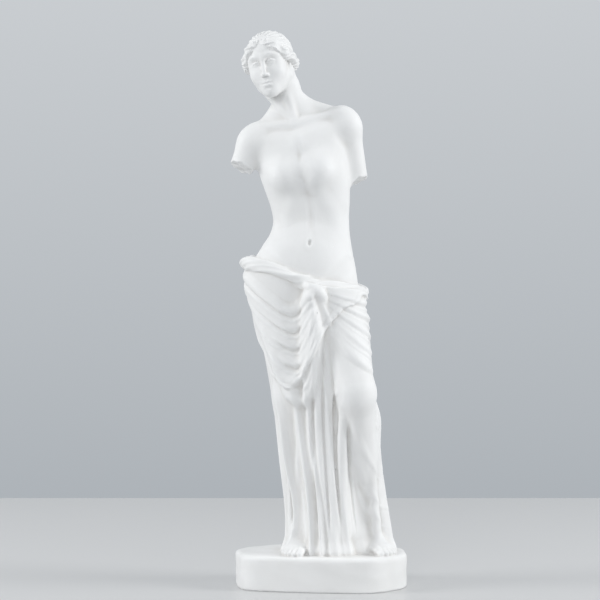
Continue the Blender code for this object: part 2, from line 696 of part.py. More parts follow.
def block_plinth(cage):
    under = -PLINTH_THICKNESS / PART - BELOW_PLINTH
    piece = bmesh.new()
    ring = [piece.verts.new((x, y, under)) for x, y in plinth_corners()]
    bottom = piece.faces.new(ring)
    risen = bmesh.ops.extrude_face_region(piece, geom=[bottom])["geom"]
    top = [item for item in risen if isinstance(item, bmesh.types.BMVert)]
    bmesh.ops.translate(piece, verts=top, vec=(0, 0, -under))
    bmesh.ops.recalc_face_normals(piece, faces=piece.faces)
    append(cage, piece)


# The whole statue

TORSO_LUMPS = torso_lumps()
FACE_LUMPS = face_lumps()
HAIR_LUMPS = hair_lumps()
MANTLE_LUMPS = leg_lumps() + knot_lumps() + fold_lumps()
FOOT_LUMPS = foot_lumps((-9, 0, 0), -14, -1) + foot_lumps((26.5, 2, 0), 20, 1, 3)


def statue_distance(points):
    field = melted(torso_distance(points), head_distance(points), 1.5)
    field = melted(field, mantle_distance(points), 1.8)
    field = fused(field, points, FOOT_LUMPS)
    return melted(field, plinth_distance(points), 0.8)


def cut_off(shape, at, facing):
    """Removes what lies beyond a plane and closes the cut."""
    everything = shape.verts[:] + shape.edges[:] + shape.faces[:]
    cut = bmesh.ops.bisect_plane(shape, geom=everything, plane_co=at, plane_no=facing, clear_outer=True)
    edges = [item for item in cut["geom_cut"] if isinstance(item, bmesh.types.BMEdge)]
    bmesh.ops.holes_fill(shape, edges=edges)


def block_arm(cage, arm):
    lumps, at, facing = arm
    piece = bmesh.new()
    for lump in lumps:
        lump.block(piece)
    cut_off(piece, at, facing)
    append(cage, piece)


def block_out():
    """Every solid of the statue, overlapping, as one mesh object."""
    cage = bmesh.new()
    TORSO.block(cage)
    SKIRT.block(cage)
    for lump in TORSO_LUMPS + FACE_LUMPS + HAIR_LUMPS + MANTLE_LUMPS + FOOT_LUMPS + roll_ropes():
        if not lump.cut:
            lump.block(cage)
    for arm in (RIGHT_STUMP, LEFT_STUMP):
        block_arm(cage, arm)
    block_plinth(cage)
    mesh = bpy.data.meshes.new("statue")
    cage.to_mesh(mesh)
    cage.free()
    return bpy.data.objects.new("statue", mesh)


def apply_modifier(statue, kind, **settings):
    modifier = statue.modifiers.new(kind.lower(), kind)
    for name, value in settings.items():
        setattr(modifier, name, value)
    bpy.context.view_layer.update()
    evaluated = statue.evaluated_get(bpy.context.evaluated_depsgraph_get())
    mesh = bpy.data.meshes.new_from_object(evaluated)
    statue.modifiers.clear()
    before, statue.data = statue.data, mesh
    bpy.data.meshes.remove(before)


def read_points(mesh):
    flat = np.empty(len(mesh.vertices) * 3, np.float32)
    mesh.vertices.foreach_get("co", flat)
    return flat.reshape(-1, 3).astype(float)


def write_points(mesh, points):
    mesh.vertices.foreach_set("co", points.astype(np.float32).ravel())
    mesh.update()


def settle(mesh, rounds, most, reach=0.05):
    """Draws every vertex onto the carved surface, along the field's slope."""
    points = read_points(mesh)
    corners = np.array(((1, -1, -1), (-1, -1, 1), (-1, 1, -1), (1, 1, 1)), float)
    for _ in range(rounds):
        values = [statue_distance(points + corner * reach) for corner in corners]
        slope = sum(value[:, None] * corner for value, corner in zip(values, corners)) / (4 * reach)
        steep = np.maximum((slope**2).sum(1), 0.05)
        move = -(sum(values) / 4 / steep)[:, None] * slope
        length = np.maximum(np.linalg.norm(move, axis=1), 1e-9)
        points += move * np.minimum(1, most / length)[:, None]
    write_points(mesh, points)


def relax(mesh, rounds, share=0.5):
    """Moves every vertex part of the way to the middle of its neighbours."""
    points = read_points(mesh)
    ends = np.empty(len(mesh.edges) * 2, np.int32)
    mesh.edges.foreach_get("vertices", ends)
    one, other = ends.reshape(-1, 2).T
    count = np.bincount(ends, minlength=len(points))
    for _ in range(rounds):
        total = np.empty_like(points)
        for axis in range(3):
            given = np.bincount(one, points[other, axis], len(points))
            total[:, axis] = given + np.bincount(other, points[one, axis], len(points))
        points += (total / count[:, None] - points) * share
    write_points(mesh, points)


def level_underside(mesh):
    """Cuts the plinth off flat at its own thickness."""
    shape = bmesh.new()
    shape.from_mesh(mesh)
    cut_off(shape, (0, 0, -PLINTH_THICKNESS / PART), (0, 0, -1))
    bmesh.ops.triangulate(shape, faces=shape.faces)
    shape.to_mesh(mesh)
    shape.free()


def to_real_size(mesh):
    """Turns parts into metres, with the origin under the middle of the statue."""
    points = read_points(mesh) * PART
    middle = (points.min(0) + points.max(0)) / 2
    points -= (middle[0], middle[1], points[:, 2].min())
    write_points(mesh, points)


def plaster():
    material = bpy.data.materials.new("plaster")
    material.use_nodes = True
    shader = material.node_tree.nodes["Principled BSDF"]
    shader.inputs["Base Color"].default_value = PLASTER
    shader.inputs["Roughness"].default_value = PLASTER_ROUGHNESS
    shader.inputs["Metallic"].default_value = 0.0
    return material


def build_statue(collection):
    statue = block_out()
    collection.objects.link(statue)
    apply_modifier(statue, "REMESH", mode="VOXEL", voxel_size=FIRST_GRID)
    settle(statue.data, rounds=5, most=2.0)
    apply_modifier(statue, "REMESH", mode="VOXEL", voxel_size=SECOND_GRID)
    settle(statue.data, rounds=3, most=1.0)
    relax(statue.data, rounds=2)
    settle(statue.data, rounds=2, most=0.6)
    relax(statue.data, rounds=1)
    triangles = len(statue.data.polygons) * 2
    apply_modifier(statue, "DECIMATE", ratio=MOST_TRIANGLES / triangles)
    level_underside(statue.data)
    to_real_size(statue.data)
    statue.data.materials.append(plaster())
    statue.data.shade_smooth()
    return statue


def main():
    for item in list(bpy.data.objects):
        bpy.data.objects.remove(item)
    collection = bpy.data.collections.new("goddess_statuette")
    bpy.context.scene.collection.children.link(collection)
    build_statue(collection)


main()
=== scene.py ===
import math

import bmesh
import bpy
import numpy as np
from mathutils import Euler, Matrix, Vector


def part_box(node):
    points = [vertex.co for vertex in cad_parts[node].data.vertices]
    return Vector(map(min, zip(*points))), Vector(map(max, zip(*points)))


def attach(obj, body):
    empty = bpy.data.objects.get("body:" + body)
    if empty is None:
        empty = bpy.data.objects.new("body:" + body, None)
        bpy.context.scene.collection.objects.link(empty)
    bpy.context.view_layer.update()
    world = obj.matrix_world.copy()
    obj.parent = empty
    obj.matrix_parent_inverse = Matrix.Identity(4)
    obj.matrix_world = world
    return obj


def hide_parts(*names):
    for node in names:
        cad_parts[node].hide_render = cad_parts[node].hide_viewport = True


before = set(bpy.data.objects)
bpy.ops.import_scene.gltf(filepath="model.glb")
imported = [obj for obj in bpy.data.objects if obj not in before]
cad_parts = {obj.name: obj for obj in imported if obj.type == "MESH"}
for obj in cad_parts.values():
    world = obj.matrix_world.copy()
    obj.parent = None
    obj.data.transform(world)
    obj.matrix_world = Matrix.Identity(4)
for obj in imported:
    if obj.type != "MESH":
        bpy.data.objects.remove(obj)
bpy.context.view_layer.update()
print("frame loaded")

# The figure is carved in parts, 282 of them from the sole to the crown. It faces -Y,
# +X is its own left and level 0 is the top of the plinth.
castStatue = {
    "stature": 282.0,
    "figureHeight": 0.282,
    "firstGrid": 1.6,  # voxels of the blocked-out shape, in parts
    "secondGrid": 0.95,
    "fineGrid": 0.5,
    "headFrom": 243.0,  # the mesh is twice as fine from this level up
    "mostTriangles": 196000,
    "torsoArc": 20.0,  # parts to the radian round the torso and round the mantle
    "clothArc": 26.0,
    "far": 60.0,
    "torsoFrom": 112,  # each form is worked out only near itself, in parts
    "mantleTo": 172,
    "plinthTo": 12,
    "headReach": 34,
    "armReach": 50,
    "hollows": {  # rounds of smoothing, and metres off it that count as full
        "edges": (6, 0.00012),
        "folds": (40, 0.0006),
    },
}
partLength = castStatue["figureHeight"] / castStatue["stature"]
farAway = castStatue["far"]
torsoArc = castStatue["torsoArc"]
clothArc = castStatue["clothArc"]


def spot(x, y, z):
    return np.array((x, y, z), float)


def turned(x=0.0, y=0.0, z=0.0):
    return np.array(Euler((math.radians(x), math.radians(y), math.radians(z))).to_matrix())


def melted(first, second, width):  # the nearer surface, with the crease rounded
    overlap = np.maximum(width - np.abs(first - second), 0) / width
    return np.minimum(first, second) - overlap * overlap * width / 4


def pared(solid, other, width):  # what lies in both, with the arris rounded
    return -melted(-solid, -other, width)


def hill(value, power=2):
    return np.exp(-(value**power))


def step(value, low, high):
    share = np.clip((value - low) / (high - low), 0, 1)
    return share * share * (3 - 2 * share)


def bump(value):
    return np.where(np.abs(value) < 1, (1 - value * value) ** 2, 0)


def smoothPath(points, count):
    points = np.asarray(points, float)
    points = np.vstack([2 * points[0] - points[1], points, 2 * points[-1] - points[-2]])
    place = np.linspace(0, len(points) - 3 - 1e-9, count)
    first = place.astype(int)
    share = (place - first)[:, None]
    a, b, c, d = (points[first + k] for k in range(4))
    bend = 2 * a - 5 * b + 4 * c - d
    twist = 3 * b - 3 * c + d - a
    return 0.5 * (2 * b + (c - a) * share + bend * share**2 + twist * share**3)


def lengths(vectors):
    return np.sqrt(np.einsum("ij,ij->i", vectors, vectors))


def stretches(points, path):  # for each stretch of a path, how far along it and off it each point is
    for k in range(len(path) - 1):
        run = path[k + 1] - path[k]
        off = points - path[k]
        share = np.clip(off @ run / (run @ run), 0, 1)
        yield k, run, share, off - share[:, None] * run


def alongPath(points, path):  # how far off a path each point is, and how far along it
    nearest = np.full(len(points), 1e9)
    share = np.zeros(len(points))
    for k, _, t, off in stretches(points, path):
        off = lengths(off)
        closer = off < nearest
        nearest[closer] = off[closer]
        share[closer] = (k + t[closer]) / (len(path) - 1)
    return nearest, share


class Ball:  # an ellipsoid that melts into what it meets, or is cut out of it
    def __init__(self, centre, radii, melt, turn=None, cut=False):
        self.centre = np.array(centre, float)
        self.radii = np.array(radii, float)
        self.melt = melt
        self.turn = np.eye(3) if turn is None else turn
        self.cut = cut
        self.low = self.centre - self.radii.max()
        self.high = self.centre + self.radii.max()

    def distance(self, points):
        local = (points - self.centre) @ self.turn / self.radii
        near = lengths(local)
        return near * (near - 1) / (lengths(local / self.radii) + 1e-9)

    def block(self, cage):
        turn = Matrix(self.turn.tolist()).to_4x4()
        addSphere(cage, Matrix.Translation(self.centre) @ turn @ Matrix.Diagonal((*self.radii, 1)))


class Rope:  # a round bar along a smooth path
    def __init__(self, points, radii, melt, count=0, cut=False):
        self.path = smoothPath(points, count) if count else np.array(points, float)
        shares = np.linspace(0, 1, len(self.path))
        self.radii = np.interp(shares, np.linspace(0, 1, len(radii)), radii)
        self.melt = melt
        self.cut = cut
        self.low = (self.path - self.radii[:, None]).min(0)
        self.high = (self.path + self.radii[:, None]).max(0)

    def distance(self, points):
        nearest = np.full(len(points), 1e9)
        for k, _, share, off in stretches(points, self.path):
            growth = (self.radii[k + 1] - self.radii[k]) * share
            nearest = np.minimum(nearest, lengths(off) - self.radii[k] - growth)
        return nearest

    def block(self, cage):
        for centre, radius in zip(self.path, self.radii):
            addSphere(cage, Matrix.Translation(centre) @ Matrix.Scale(radius, 4))
        for k in range(len(self.path) - 1):
            addCone(cage, self.path[k], self.path[k + 1], self.radii[k], self.radii[k + 1])


class Loft:  # rows: level, centre x and y, half width, depth before and behind, squareness, tilt, turn
    def __init__(self, rows, count=240):
        rows = np.array(rows, float)
        levels = rows[:, 0]
        self.levels = np.linspace(levels[0], levels[-1], count)
        row = np.clip(np.searchsorted(levels, self.levels) - 1, 0, len(levels) - 2)
        gap = levels[row + 1] - levels[row]
        t = (self.levels - levels[row]) / gap
        self.values = []
        for column in rows[:, 1:].T:
            slope = np.gradient(column, levels)
            here = (2 * t**3 - 3 * t**2 + 1) * column[row] + (t**3 - 2 * t**2 + t) * gap * slope[row]
            there = (3 * t**2 - 2 * t**3) * column[row + 1] + (t**3 - t**2) * gap * slope[row + 1]
            self.values.append(here + there)

    def section(self, level):
        return [np.interp(level, self.levels, value) for value in self.values]

    def around(self, points):  # level, angle from the front, distance from the axis, radius
        level = points[:, 2]
        for _ in range(3):
            middle = np.interp(level, self.levels, self.values[0])
            tilt = np.radians(np.interp(level, self.levels, self.values[6]))
            level = points[:, 2] - np.tan(tilt) * (points[:, 0] - middle)
        centreX, centreY, wide, front, back, square, _, turn = self.section(level)
        x, y = points[:, 0] - centreX, points[:, 1] - centreY
        c, s = np.cos(np.radians(turn)), np.sin(np.radians(turn))
        x, y = c * x + s * y, c * y - s * x
        deep = np.where(y < 0, front, back)
        share = (np.abs(x / wide) ** square + np.abs(y / deep) ** square) ** (1 / square) + 1e-9
        away = np.hypot(x, y)
        return level, np.arctan2(x, -y), away, away / share

    def distance(self, level, away, radius):
        ends = np.maximum(level - self.levels[-1], self.levels[0] - level)
        return np.maximum(away - radius, ends)

    def point(self, level, degrees, lift=0.0):
        centreX, centreY, wide, front, back, square, tilt, turn = self.section(level)
        angle = math.radians(degrees)
        x, y = math.sin(angle), -math.cos(angle)
        deep = front if y < 0 else back
        radius = (abs(x / wide) ** square + abs(y / deep) ** square) ** (-1 / square) + lift
        c, s = math.cos(math.radians(turn)), math.sin(math.radians(turn))
        along, across = c * x * radius - s * y * radius, s * x * radius + c * y * radius
        return spot(centreX + along, centreY + across, level + math.tan(math.radians(tilt)) * along)

    def block(self, cage, rings=40, sides=40):
        piece = bmesh.new()
        bmesh.ops.create_circle(piece, cap_ends=True, segments=sides, radius=1)
        face = piece.faces[:][0]
        for level in np.linspace(self.levels[0], self.levels[-1], rings):
            if level > self.levels[0]:
                grown = bmesh.ops.extrude_face_region(piece, geom=[face])["geom"]
                face = [item for item in grown if isinstance(item, bmesh.types.BMFace)][0]
            for k, corner in enumerate(face.verts):
                corner.co = self.point(level, 360 * k / sides)
        bmesh.ops.recalc_face_normals(piece, faces=piece.faces)
        joinInto(cage, piece)


def linked(name, data):
    piece = bpy.data.objects.new(name, data)
    bpy.context.scene.collection.objects.link(piece)
    return piece


def meshFrom(shape, name):
    mesh = bpy.data.meshes.new(name)
    shape.to_mesh(mesh)
    shape.free()
    return mesh


def joinInto(cage, piece):
    mesh = meshFrom(piece, "block")
    cage.from_mesh(mesh)
    bpy.data.meshes.remove(mesh)


def addSphere(cage, matrix):
    piece = bmesh.new()
    bmesh.ops.create_icosphere(piece, subdivisions=3, radius=1, matrix=matrix)
    joinInto(cage, piece)


def addCone(cage, start, end, startRadius, endRadius):
    start, end = Vector(start), Vector(end)
    aim = (end - start).to_track_quat("Z", "Y").to_matrix().to_4x4()
    piece = bmesh.new()
    bmesh.ops.create_cone(
        piece, cap_ends=True, segments=20, radius1=startRadius, radius2=endRadius,
        depth=(end - start).length, matrix=Matrix.Translation((start + end) / 2) @ aim)
    joinInto(cage, piece)


def nothing(points):
    return np.full(len(points), farAway)


def fused(field, points, lumps, margin=4.0):
    columns = np.ascontiguousarray(points.T)
    for lump in lumps:
        low = (lump.low - lump.melt - margin)[:, None]
        high = (lump.high + lump.melt + margin)[:, None]
        near = np.flatnonzero(((columns > low) & (columns < high)).all(0))
        if not len(near):
            continue
        distance = lump.distance(points[near])
        if lump.cut:
            field[near] = pared(field[near], -distance, lump.melt)
        else:
            field[near] = melted(field[near], distance, lump.melt)
    return field


def ridge(across, level, points, width, height, arc, above=1.0, taper=0.15):
    # a raised line through points given as degrees and levels
    count = 14
    points = np.array(points, float)
    path = smoothPath(np.column_stack([np.radians(points[:, 0]) * arc, points[:, 1]]), count)
    relief = np.zeros(len(across))
    here = np.column_stack([across, level])
    low, high = path.min(0) - width * 1.2 * above, path.max(0) + width * 1.2 * above
    near = ((here > low) & (here < high)).all(1)
    if not near.any():
        return relief
    here = here[near]
    nearest = np.full(len(here), 1e9)
    side = np.zeros(len(here))
    share = np.zeros(len(here))
    for k, run, t, off in stretches(here, path):
        distance = np.hypot(off[:, 0], off[:, 1])
        closer = distance < nearest
        nearest[closer] = distance[closer]
        share[closer] = (k + t[closer]) / (count - 1)
        side[closer] = (run[0] * off[:, 1] - run[1] * off[:, 0])[closer]
    swell = step(share, 0, taper) * step(1 - share, 0, taper)
    width = np.where(side > 0, width * above, width) * (0.35 + 0.65 * swell)
    relief[near] = height * swell * bump(nearest / width)
    return relief


# The nude torso, leaning over the standing leg
torso = {
    "rightShoulder": spot(-36.4, 2.2, 222.0),
    "leftShoulder": spot(14.2, 1.0, 231.0),
    "rightBreast": -42,  # degrees from the front
    "leftBreast": 39,
    "breastLevel": 204.0,
    "navelLevel": 165,
    "rows": [
        (118, -6.0, 2.0, 24.0, 15.0, 18.0, 2.2, -5, 6),
        (134, -8.0, 1.5, 28.0, 16.6, 20.0, 2.2, -6, 6),
        (144, -8.5, 1.0, 29.2, 16.6, 20.5, 2.2, -6, 6),
        (154, -8.2, 0.5, 27.6, 16.2, 18.4, 2.2, -5, 5),
        (163, -7.0, 0.5, 24.4, 15.2, 14.8, 2.2, -3, 3),
        (171, -5.6, 0.7, 21.6, 13.8, 12.4, 2.2, 0, 1),
        (178, -5.0, 1.0, 20.6, 13.0, 12.2, 2.2, 3, -1),
        (187, -5.4, 1.0, 21.4, 13.4, 13.2, 2.3, 5, -3),
        (197, -7.0, 0.8, 22.9, 13.8, 14.6, 2.4, 7, -4),
        (208, -9.4, 0.8, 24.0, 13.4, 15.8, 2.4, 8, -5),
        (219, -11.6, 1.2, 23.6, 11.6, 15.2, 2.4, 8, -5),
        (228, -13.0, 2.0, 20.4, 9.2, 13.0, 2.2, 7, -5),
        (235, -14.6, 2.8, 13.4, 7.2, 10.0, 2.0, 5, -5),
        (241, -16.0, 3.0, 8.4, 6.6, 8.2, 2.0, 2, -5),
        (248, -18.0, 2.4, 6.9, 6.4, 7.4, 2.0, 0, -5),
        (260, -21.6, 1.2, 6.7, 6.6, 7.2, 2.0, 0, -5),
    ],
}
torsoLoft = Loft(torso["rows"])
headCentre = spot(-27.5, -3.0, 262.5)
headTurn = turned(9, -11, -16)


def onHead(x, y, z):
    return headCentre + headTurn @ spot(x, y, z)


def breast(degrees):
    level = torso["breastLevel"]
    root = torsoLoft.point(level, degrees, -4.6)
    out = torsoLoft.point(level, degrees, 5.0) - torsoLoft.point(level, degrees)
    out = out / np.linalg.norm(out)
    return [
        Ball(root + out * 0.4, (8.6, 8.4, 9.6), 7.0),
        Ball(root + out * 2.4 + spot(0, 0, -1.6), (6.8, 6.4, 6.4), 4.0),
        Ball(root + out * 8.5 + spot(0, 0, -1.2), (1.0, 1.0, 1.0), 1.2),
    ]


def collarBone(start, shoulder, side):
    end = shoulder + spot(-3.6 * side, -4.2, 5.5)
    middle = (start + end) / 2 + spot(0, -0.2, 0.2)
    return Rope([start, middle, end], [1.3, 1.2, 1.5], 4.5, count=6)


def neckSinew(side, degrees):
    behindEar = onHead(8.0 * side, 5.5, -8)
    halfway = onHead(5.6 * side, 1.0, -15)
    return Rope([behindEar, halfway, torsoLoft.point(232.5, degrees, -0.2)], [1.8, 1.6, 1.2], 3.0, count=6)


def torsoLumps():
    right, left = torso["rightShoulder"], torso["leftShoulder"]
    return breast(torso["rightBreast"]) + breast(torso["leftBreast"]) + [
        Rope([torsoLoft.point(217, -30, -5.5), right + spot(1.5, -2, 0)], [5.2, 5.0], 7),
        Rope([torsoLoft.point(219, 28, -5.5), left + spot(-1.5, -2, 0)], [5.2, 5.0], 7),
        Rope([spot(-18.4, 6, 244), right + spot(5.5, 1.2, 5.2)], [4.2, 4.4], 8),
        Rope([spot(-15.2, 6, 244), left + spot(-5.5, 1.2, 4.6)], [4.2, 4.4], 8),
        Ball(torsoLoft.point(213, 140, -2.6), (8.5, 4.2, 10.5), 6, turned(z=35)),
        Ball(torsoLoft.point(211, -142, -2.6), (8.5, 4.2, 10.5), 6, turned(z=-35)),
        collarBone(torsoLoft.point(230.5, -6, -0.5), right, -1),
        collarBone(torsoLoft.point(230.5, 10, -0.5), left, 1),
        Ball(torsoLoft.point(233.4, 2, 0.9), (2.4, 1.8, 2.4), 3.0, cut=True),
        Ball((-20, 11, 141), (13, 11.5, 14), 6),
        Ball((2.5, 10.5, 137), (13, 11.5, 14), 6),
        Ball((-7.4, -6.6, 156), (13.5, 8.2, 14), 9),
        Rope([spot(-18, 2.6, 252), onHead(0, 3.2, -8)], [6.6, 6.6], 3),
        neckSinew(-1, -4),
        neckSinew(1, 8),
    ]


def torsoRelief(level, angle):
    front = angle * torsoArc
    back = (math.pi - np.abs(angle)) * torsoArc
    relief = -0.34 * bump(front / 4.2) * step(level, 165, 174) * step(197 - level, 0, 10)
    relief -= 0.32 * bump(front / 4.2) * step(level, 205, 212) * step(226 - level, 0, 8)
    for side in (-1, 1):
        ribs = [(0, 199.5), (side * 20, 193), (side * 40, 184), (side * 60, 174)]
        groin = [(side * 80, 160), (side * 52, 152), (side * 26, 142)]
        relief += ridge(front, level, ribs, 6.5, 0.5, torsoArc)
        relief -= ridge(front, level, groin, 5.0, 0.55, torsoArc)
    navel = np.hypot(front, (level - torso["navelLevel"]) * 0.8)
    relief += 0.3 * bump(navel / 4.2) - 1.9 * bump(navel / 1.9)
    relief -= 1.0 * bump(back / 5.5) * step(level, 148, 164) * step(236 - level, 0, 14)
    relief += 0.6 * bump((back - 7) / 6) * step(level, 152, 168) * step(204 - level, 0, 24)
    return relief


# The stumps of the arms, broken off across the upper arm
def stump(shoulder, lean, start, end, radii, at, facing):
    lumps = [
        Ball(shoulder, (7.0, 7.6, 9.0), 6, turned(y=lean)),
        Rope([shoulder + spot(*start), shoulder + spot(*end)], radii, 6),
    ]
    return {"lumps": lumps, "at": shoulder + spot(*at), "facing": spot(*facing)}


rightStump = stump(
    torso["rightShoulder"], lean=22, start=(-1.4, -0.3, -2), end=(-10, -3.6, -24), radii=(6.8, 6.2),
    at=(-6.4, -2.6, -15), facing=(-0.42, -0.26, -0.87))
leftStump = stump(
    torso["leftShoulder"], lean=-12, start=(1, 0, -3), end=(7.4, 3.6, -40), radii=(6.8, 5.7),
    at=(5.8, 2.8, -31), facing=(0.34, -0.12, -0.93))


def stumpDistance(points, arm):
    whole = fused(nothing(points), points, arm["lumps"], farAway)
    off = points - arm["at"]
    x, y = off[:, 0], off[:, 1]
    broken = 0.45 * np.sin(x * 0.9 + 1) * np.sin(y * 0.8)
    broken += 0.16 * np.sin(y * 2.1 + x * 1.3) + 0.08 * np.sin(x * 4.1 - y * 2.3)
    beyond = off @ arm["facing"] / np.linalg.norm(arm["facing"]) + broken
    return pared(whole, beyond, 0.5)


# The head
hair = {
    "centre": spot(0, 20.0, -3.4),  # of the bun, on the head
    "crownLocks": 13,
    "crownDepth": 0.34,
    "frontDepth": 0.34,
    "frontWave": 0.45,
    "roll": [
        (0.8, -9.4, 12.4), (4.6, -10.2, 10.2), (8.4, -8.2, 6.6), (11.0, -3.8, 3.0),
        (12.0, 2.0, 1.0), (11.0, 8.6, -1.4), (7.0, 14.2, -3.6), (2.4, 17.4, -4.4)],
    "rollRadii": [1.4, 2.6, 2.9, 3.0, 3.0, 3.1, 3.0, 2.8],
}


def headBall(at, radii, melt, **rest):
    return Ball(onHead(*at), radii, melt, headTurn, **rest)


def headLine(points, radii, melt, **rest):
    return Rope([onHead(*point) for point in points], radii, melt, count=10, **rest)


def toSide(side, points):
    return [(side * x, y, z) for x, y, z in points]


def mirrored(half):  # a line across the face, from its left half
    return toSide(-1, [point for point in reversed(half) if point[0]]) + half


def faceLumps():
    lumps = [
        headBall((0, 3.8, 4.8), (11.4, 14.4, 12.8), 2),
        headBall((0, -3.2, -3.4), (9.3, 9.8, 12.2), 4),
        headBall((0, -4.6, -9.8), (6.7, 7.2, 6.2), 4),
        headBall((0, -9.9, -14.9), (2.8, 2.8, 2.5), 3.5),
        headBall((0, -4.4, 6.0), (9.2, 8.6, 8.6), 3),
        headBall((0, -9.5, -10.0), (4.6, 3.5, 4.2), 3),
    ]
    for side in (-1, 1):
        lumps += [
            headBall((5.4 * side, -8.2, -4.6), (3.9, 3.8, 4.6), 3.5),
            Rope([onHead(8.2 * side, 0.5, -7.6), onHead(1.8 * side, -8.4, -14.0)], [2.6, 2.3], 3.5),
            headBall((6.3 * side, -6.5, 0.8), (2.9, 3.7, 4.4), 3),
            headBall((8.2 * side, 4.5, -5.0), (3.2, 4.4, 4.4), 3),
            headBall((4.2 * side, -13.6, 0.6), (2.8, 2.3, 1.9), 1.8, cut=True),
            headBall((2.0 * side, -14.2, 0.8), (1.0, 1.5, 1.5), 1.4, cut=True),
        ]
        lumps += eyeLumps(side) + earLumps(side)
    return lumps + noseLumps() + mouthLumps()


def eyeLumps(side):
    upper = ((2.0, -11.6, 0.1), (3.0, -12.15, 1.2), (4.3, -12.3, 1.55), (5.6, -11.6, 1.1), (6.6, -10.4, 0.0))
    lower = ((2.3, -11.6, -0.8), (4.3, -11.9, -1.5), (6.2, -10.7, -0.8))
    brow = ((1.3, -12.3, 3.6), (3.2, -12.4, 4.6), (5.4, -11.6, 4.8), (8.0, -9.0, 3.4))
    return [
        headBall((4.2 * side, -9.8, 0.2), (2.6, 2.6, 2.1), 0.5),
        headLine(toSide(side, upper), [0.4, 0.54, 0.62, 0.54, 0.4], 0.5),
        headLine(toSide(side, lower), [0.35, 0.44, 0.35], 0.7),
        headLine(toSide(side, brow), [0.7, 0.8, 0.7, 0.5], 2.0),
    ]


def noseLumps():
    bridge = [(0, -12.2, 4.6), (0, -13.2, 0.8), (0, -14.4, -3.0), (0, -14.9, -5.2)]
    lumps = [
        headLine(bridge, [1.2, 0.95, 0.95, 1.15], 1.6),
        headBall((0, -14.8, -5.5), (1.25, 1.3, 1.1), 0.8),
    ]
    for side in (-1, 1):
        lumps.append(headBall((1.35 * side, -13.4, -5.9), (0.9, 1.5, 0.85), 0.8))
        lumps.append(headBall((0.75 * side, -14.0, -6.9), (0.45, 0.5, 0.4), 0.4, cut=True))
    return lumps


def mouthLumps():
    upper = mirrored([(0, -13.2, -9.65), (1.4, -13.0, -9.45), (3.1, -12.0, -9.9)])
    lower = mirrored([(1.2, -12.9, -11.15), (2.6, -12.1, -10.7)])
    between = mirrored([(0, -13.9, -10.25), (1.4, -13.7, -10.35), (2.7, -13.1, -10.1)])
    return [
        headLine(upper, [0.3, 0.66, 0.62, 0.66, 0.3], 0.6),
        headLine(lower, [0.35, 0.8, 0.8, 0.35], 0.6),
        headLine(between, [0.06, 0.24, 0.28, 0.24, 0.06], 0.7, cut=True),
        headBall((0, -13.7, -12.9), (2.2, 1.0, 0.7), 0.9, cut=True),
        headBall((0, -14.2, -8.1), (0.5, 0.8, 1.0), 0.6, cut=True),
    ]


def earLumps(side):
    lobe = ((10.2, 0.4, -4.6), (10.9, 0.6, -1.6), (11.2, 2.6, 0.6), (11.0, 4.0, -1.0))
    return [headLine(toSide(side, lobe), [1.0, 0.8, 0.9, 0.8], 0.6)]


def hairLumps():
    lumps = [headBall((0, 4.8, 5.8), (12.6, 15.6, 12.9), 0.6)]
    for side in (-1, 1):
        path = [onHead(*point) for point in toSide(side, hair["roll"])]
        lumps.append(Rope(path, hair["rollRadii"], 0.9, count=14))
    return lumps + [Ball(onHead(*hair["centre"]), (5.6, 5.0, 5.4), 1.0, headTurn)]


def hairRelief(local):  # locks combed back over the crown, waves round the face, a coiled bun
    start, end = spot(0, -12, 12), spot(0, 19, -4)
    axis = (end - start) / np.linalg.norm(end - start)
    up = spot(0, 0, 1) - axis * axis[2]
    up /= np.linalg.norm(up)
    share = (local - start) @ axis / np.linalg.norm(end - start)
    fan = np.arctan2(local[:, 0], (local - start) @ up)
    sway = 0.22 * np.sin(share * 15 + 1.5) + 0.10 * np.sin(share * 31 + 3 * np.abs(fan))
    lock = np.sqrt(np.sin(hair["crownLocks"] * np.abs(fan) + 3.0 * sway) ** 2 + 0.02)
    crown = hair["crownDepth"] * (1 - 2 * lock) * step(np.abs(fan), 0.02, 0.15)
    outside = step(np.linalg.norm(local - hair["centre"], axis=1), 5.5, 8.5)
    coil = 0.22 * np.sin(1.5 * (local[:, 2] - 0.6 * local[:, 0]) + 1.2 * np.sin(0.7 * local[:, 0]))
    relief = crown * outside + coil * (1 - outside)
    for side in (-1, 1):
        path = smoothPath(toSide(side, hair["roll"]), 22)
        off, along = alongPath(local, path)
        comb = local[:, 2] + 0.55 * np.abs(local[:, 0]) - 0.2 * local[:, 1]
        strand = np.sqrt(np.sin(comb + 1.7 * np.sin(along * 22)) ** 2 + 0.04)
        wave = hair["frontWave"] * np.sin(along * 44 + 0.3 * comb) * (0.2 + 0.8 * step(along, 0.02, 0.2))
        wave += hair["frontDepth"] * (1 - 2 * strand)
        here = step(4.6 - off, 0, 1.2) * (local[:, 0] * side > 0)
        relief = relief * (1 - here) + wave * here
    parting = 1.0 * bump(local[:, 0]) * step(-local[:, 1], -4, 6)
    return relief - parting


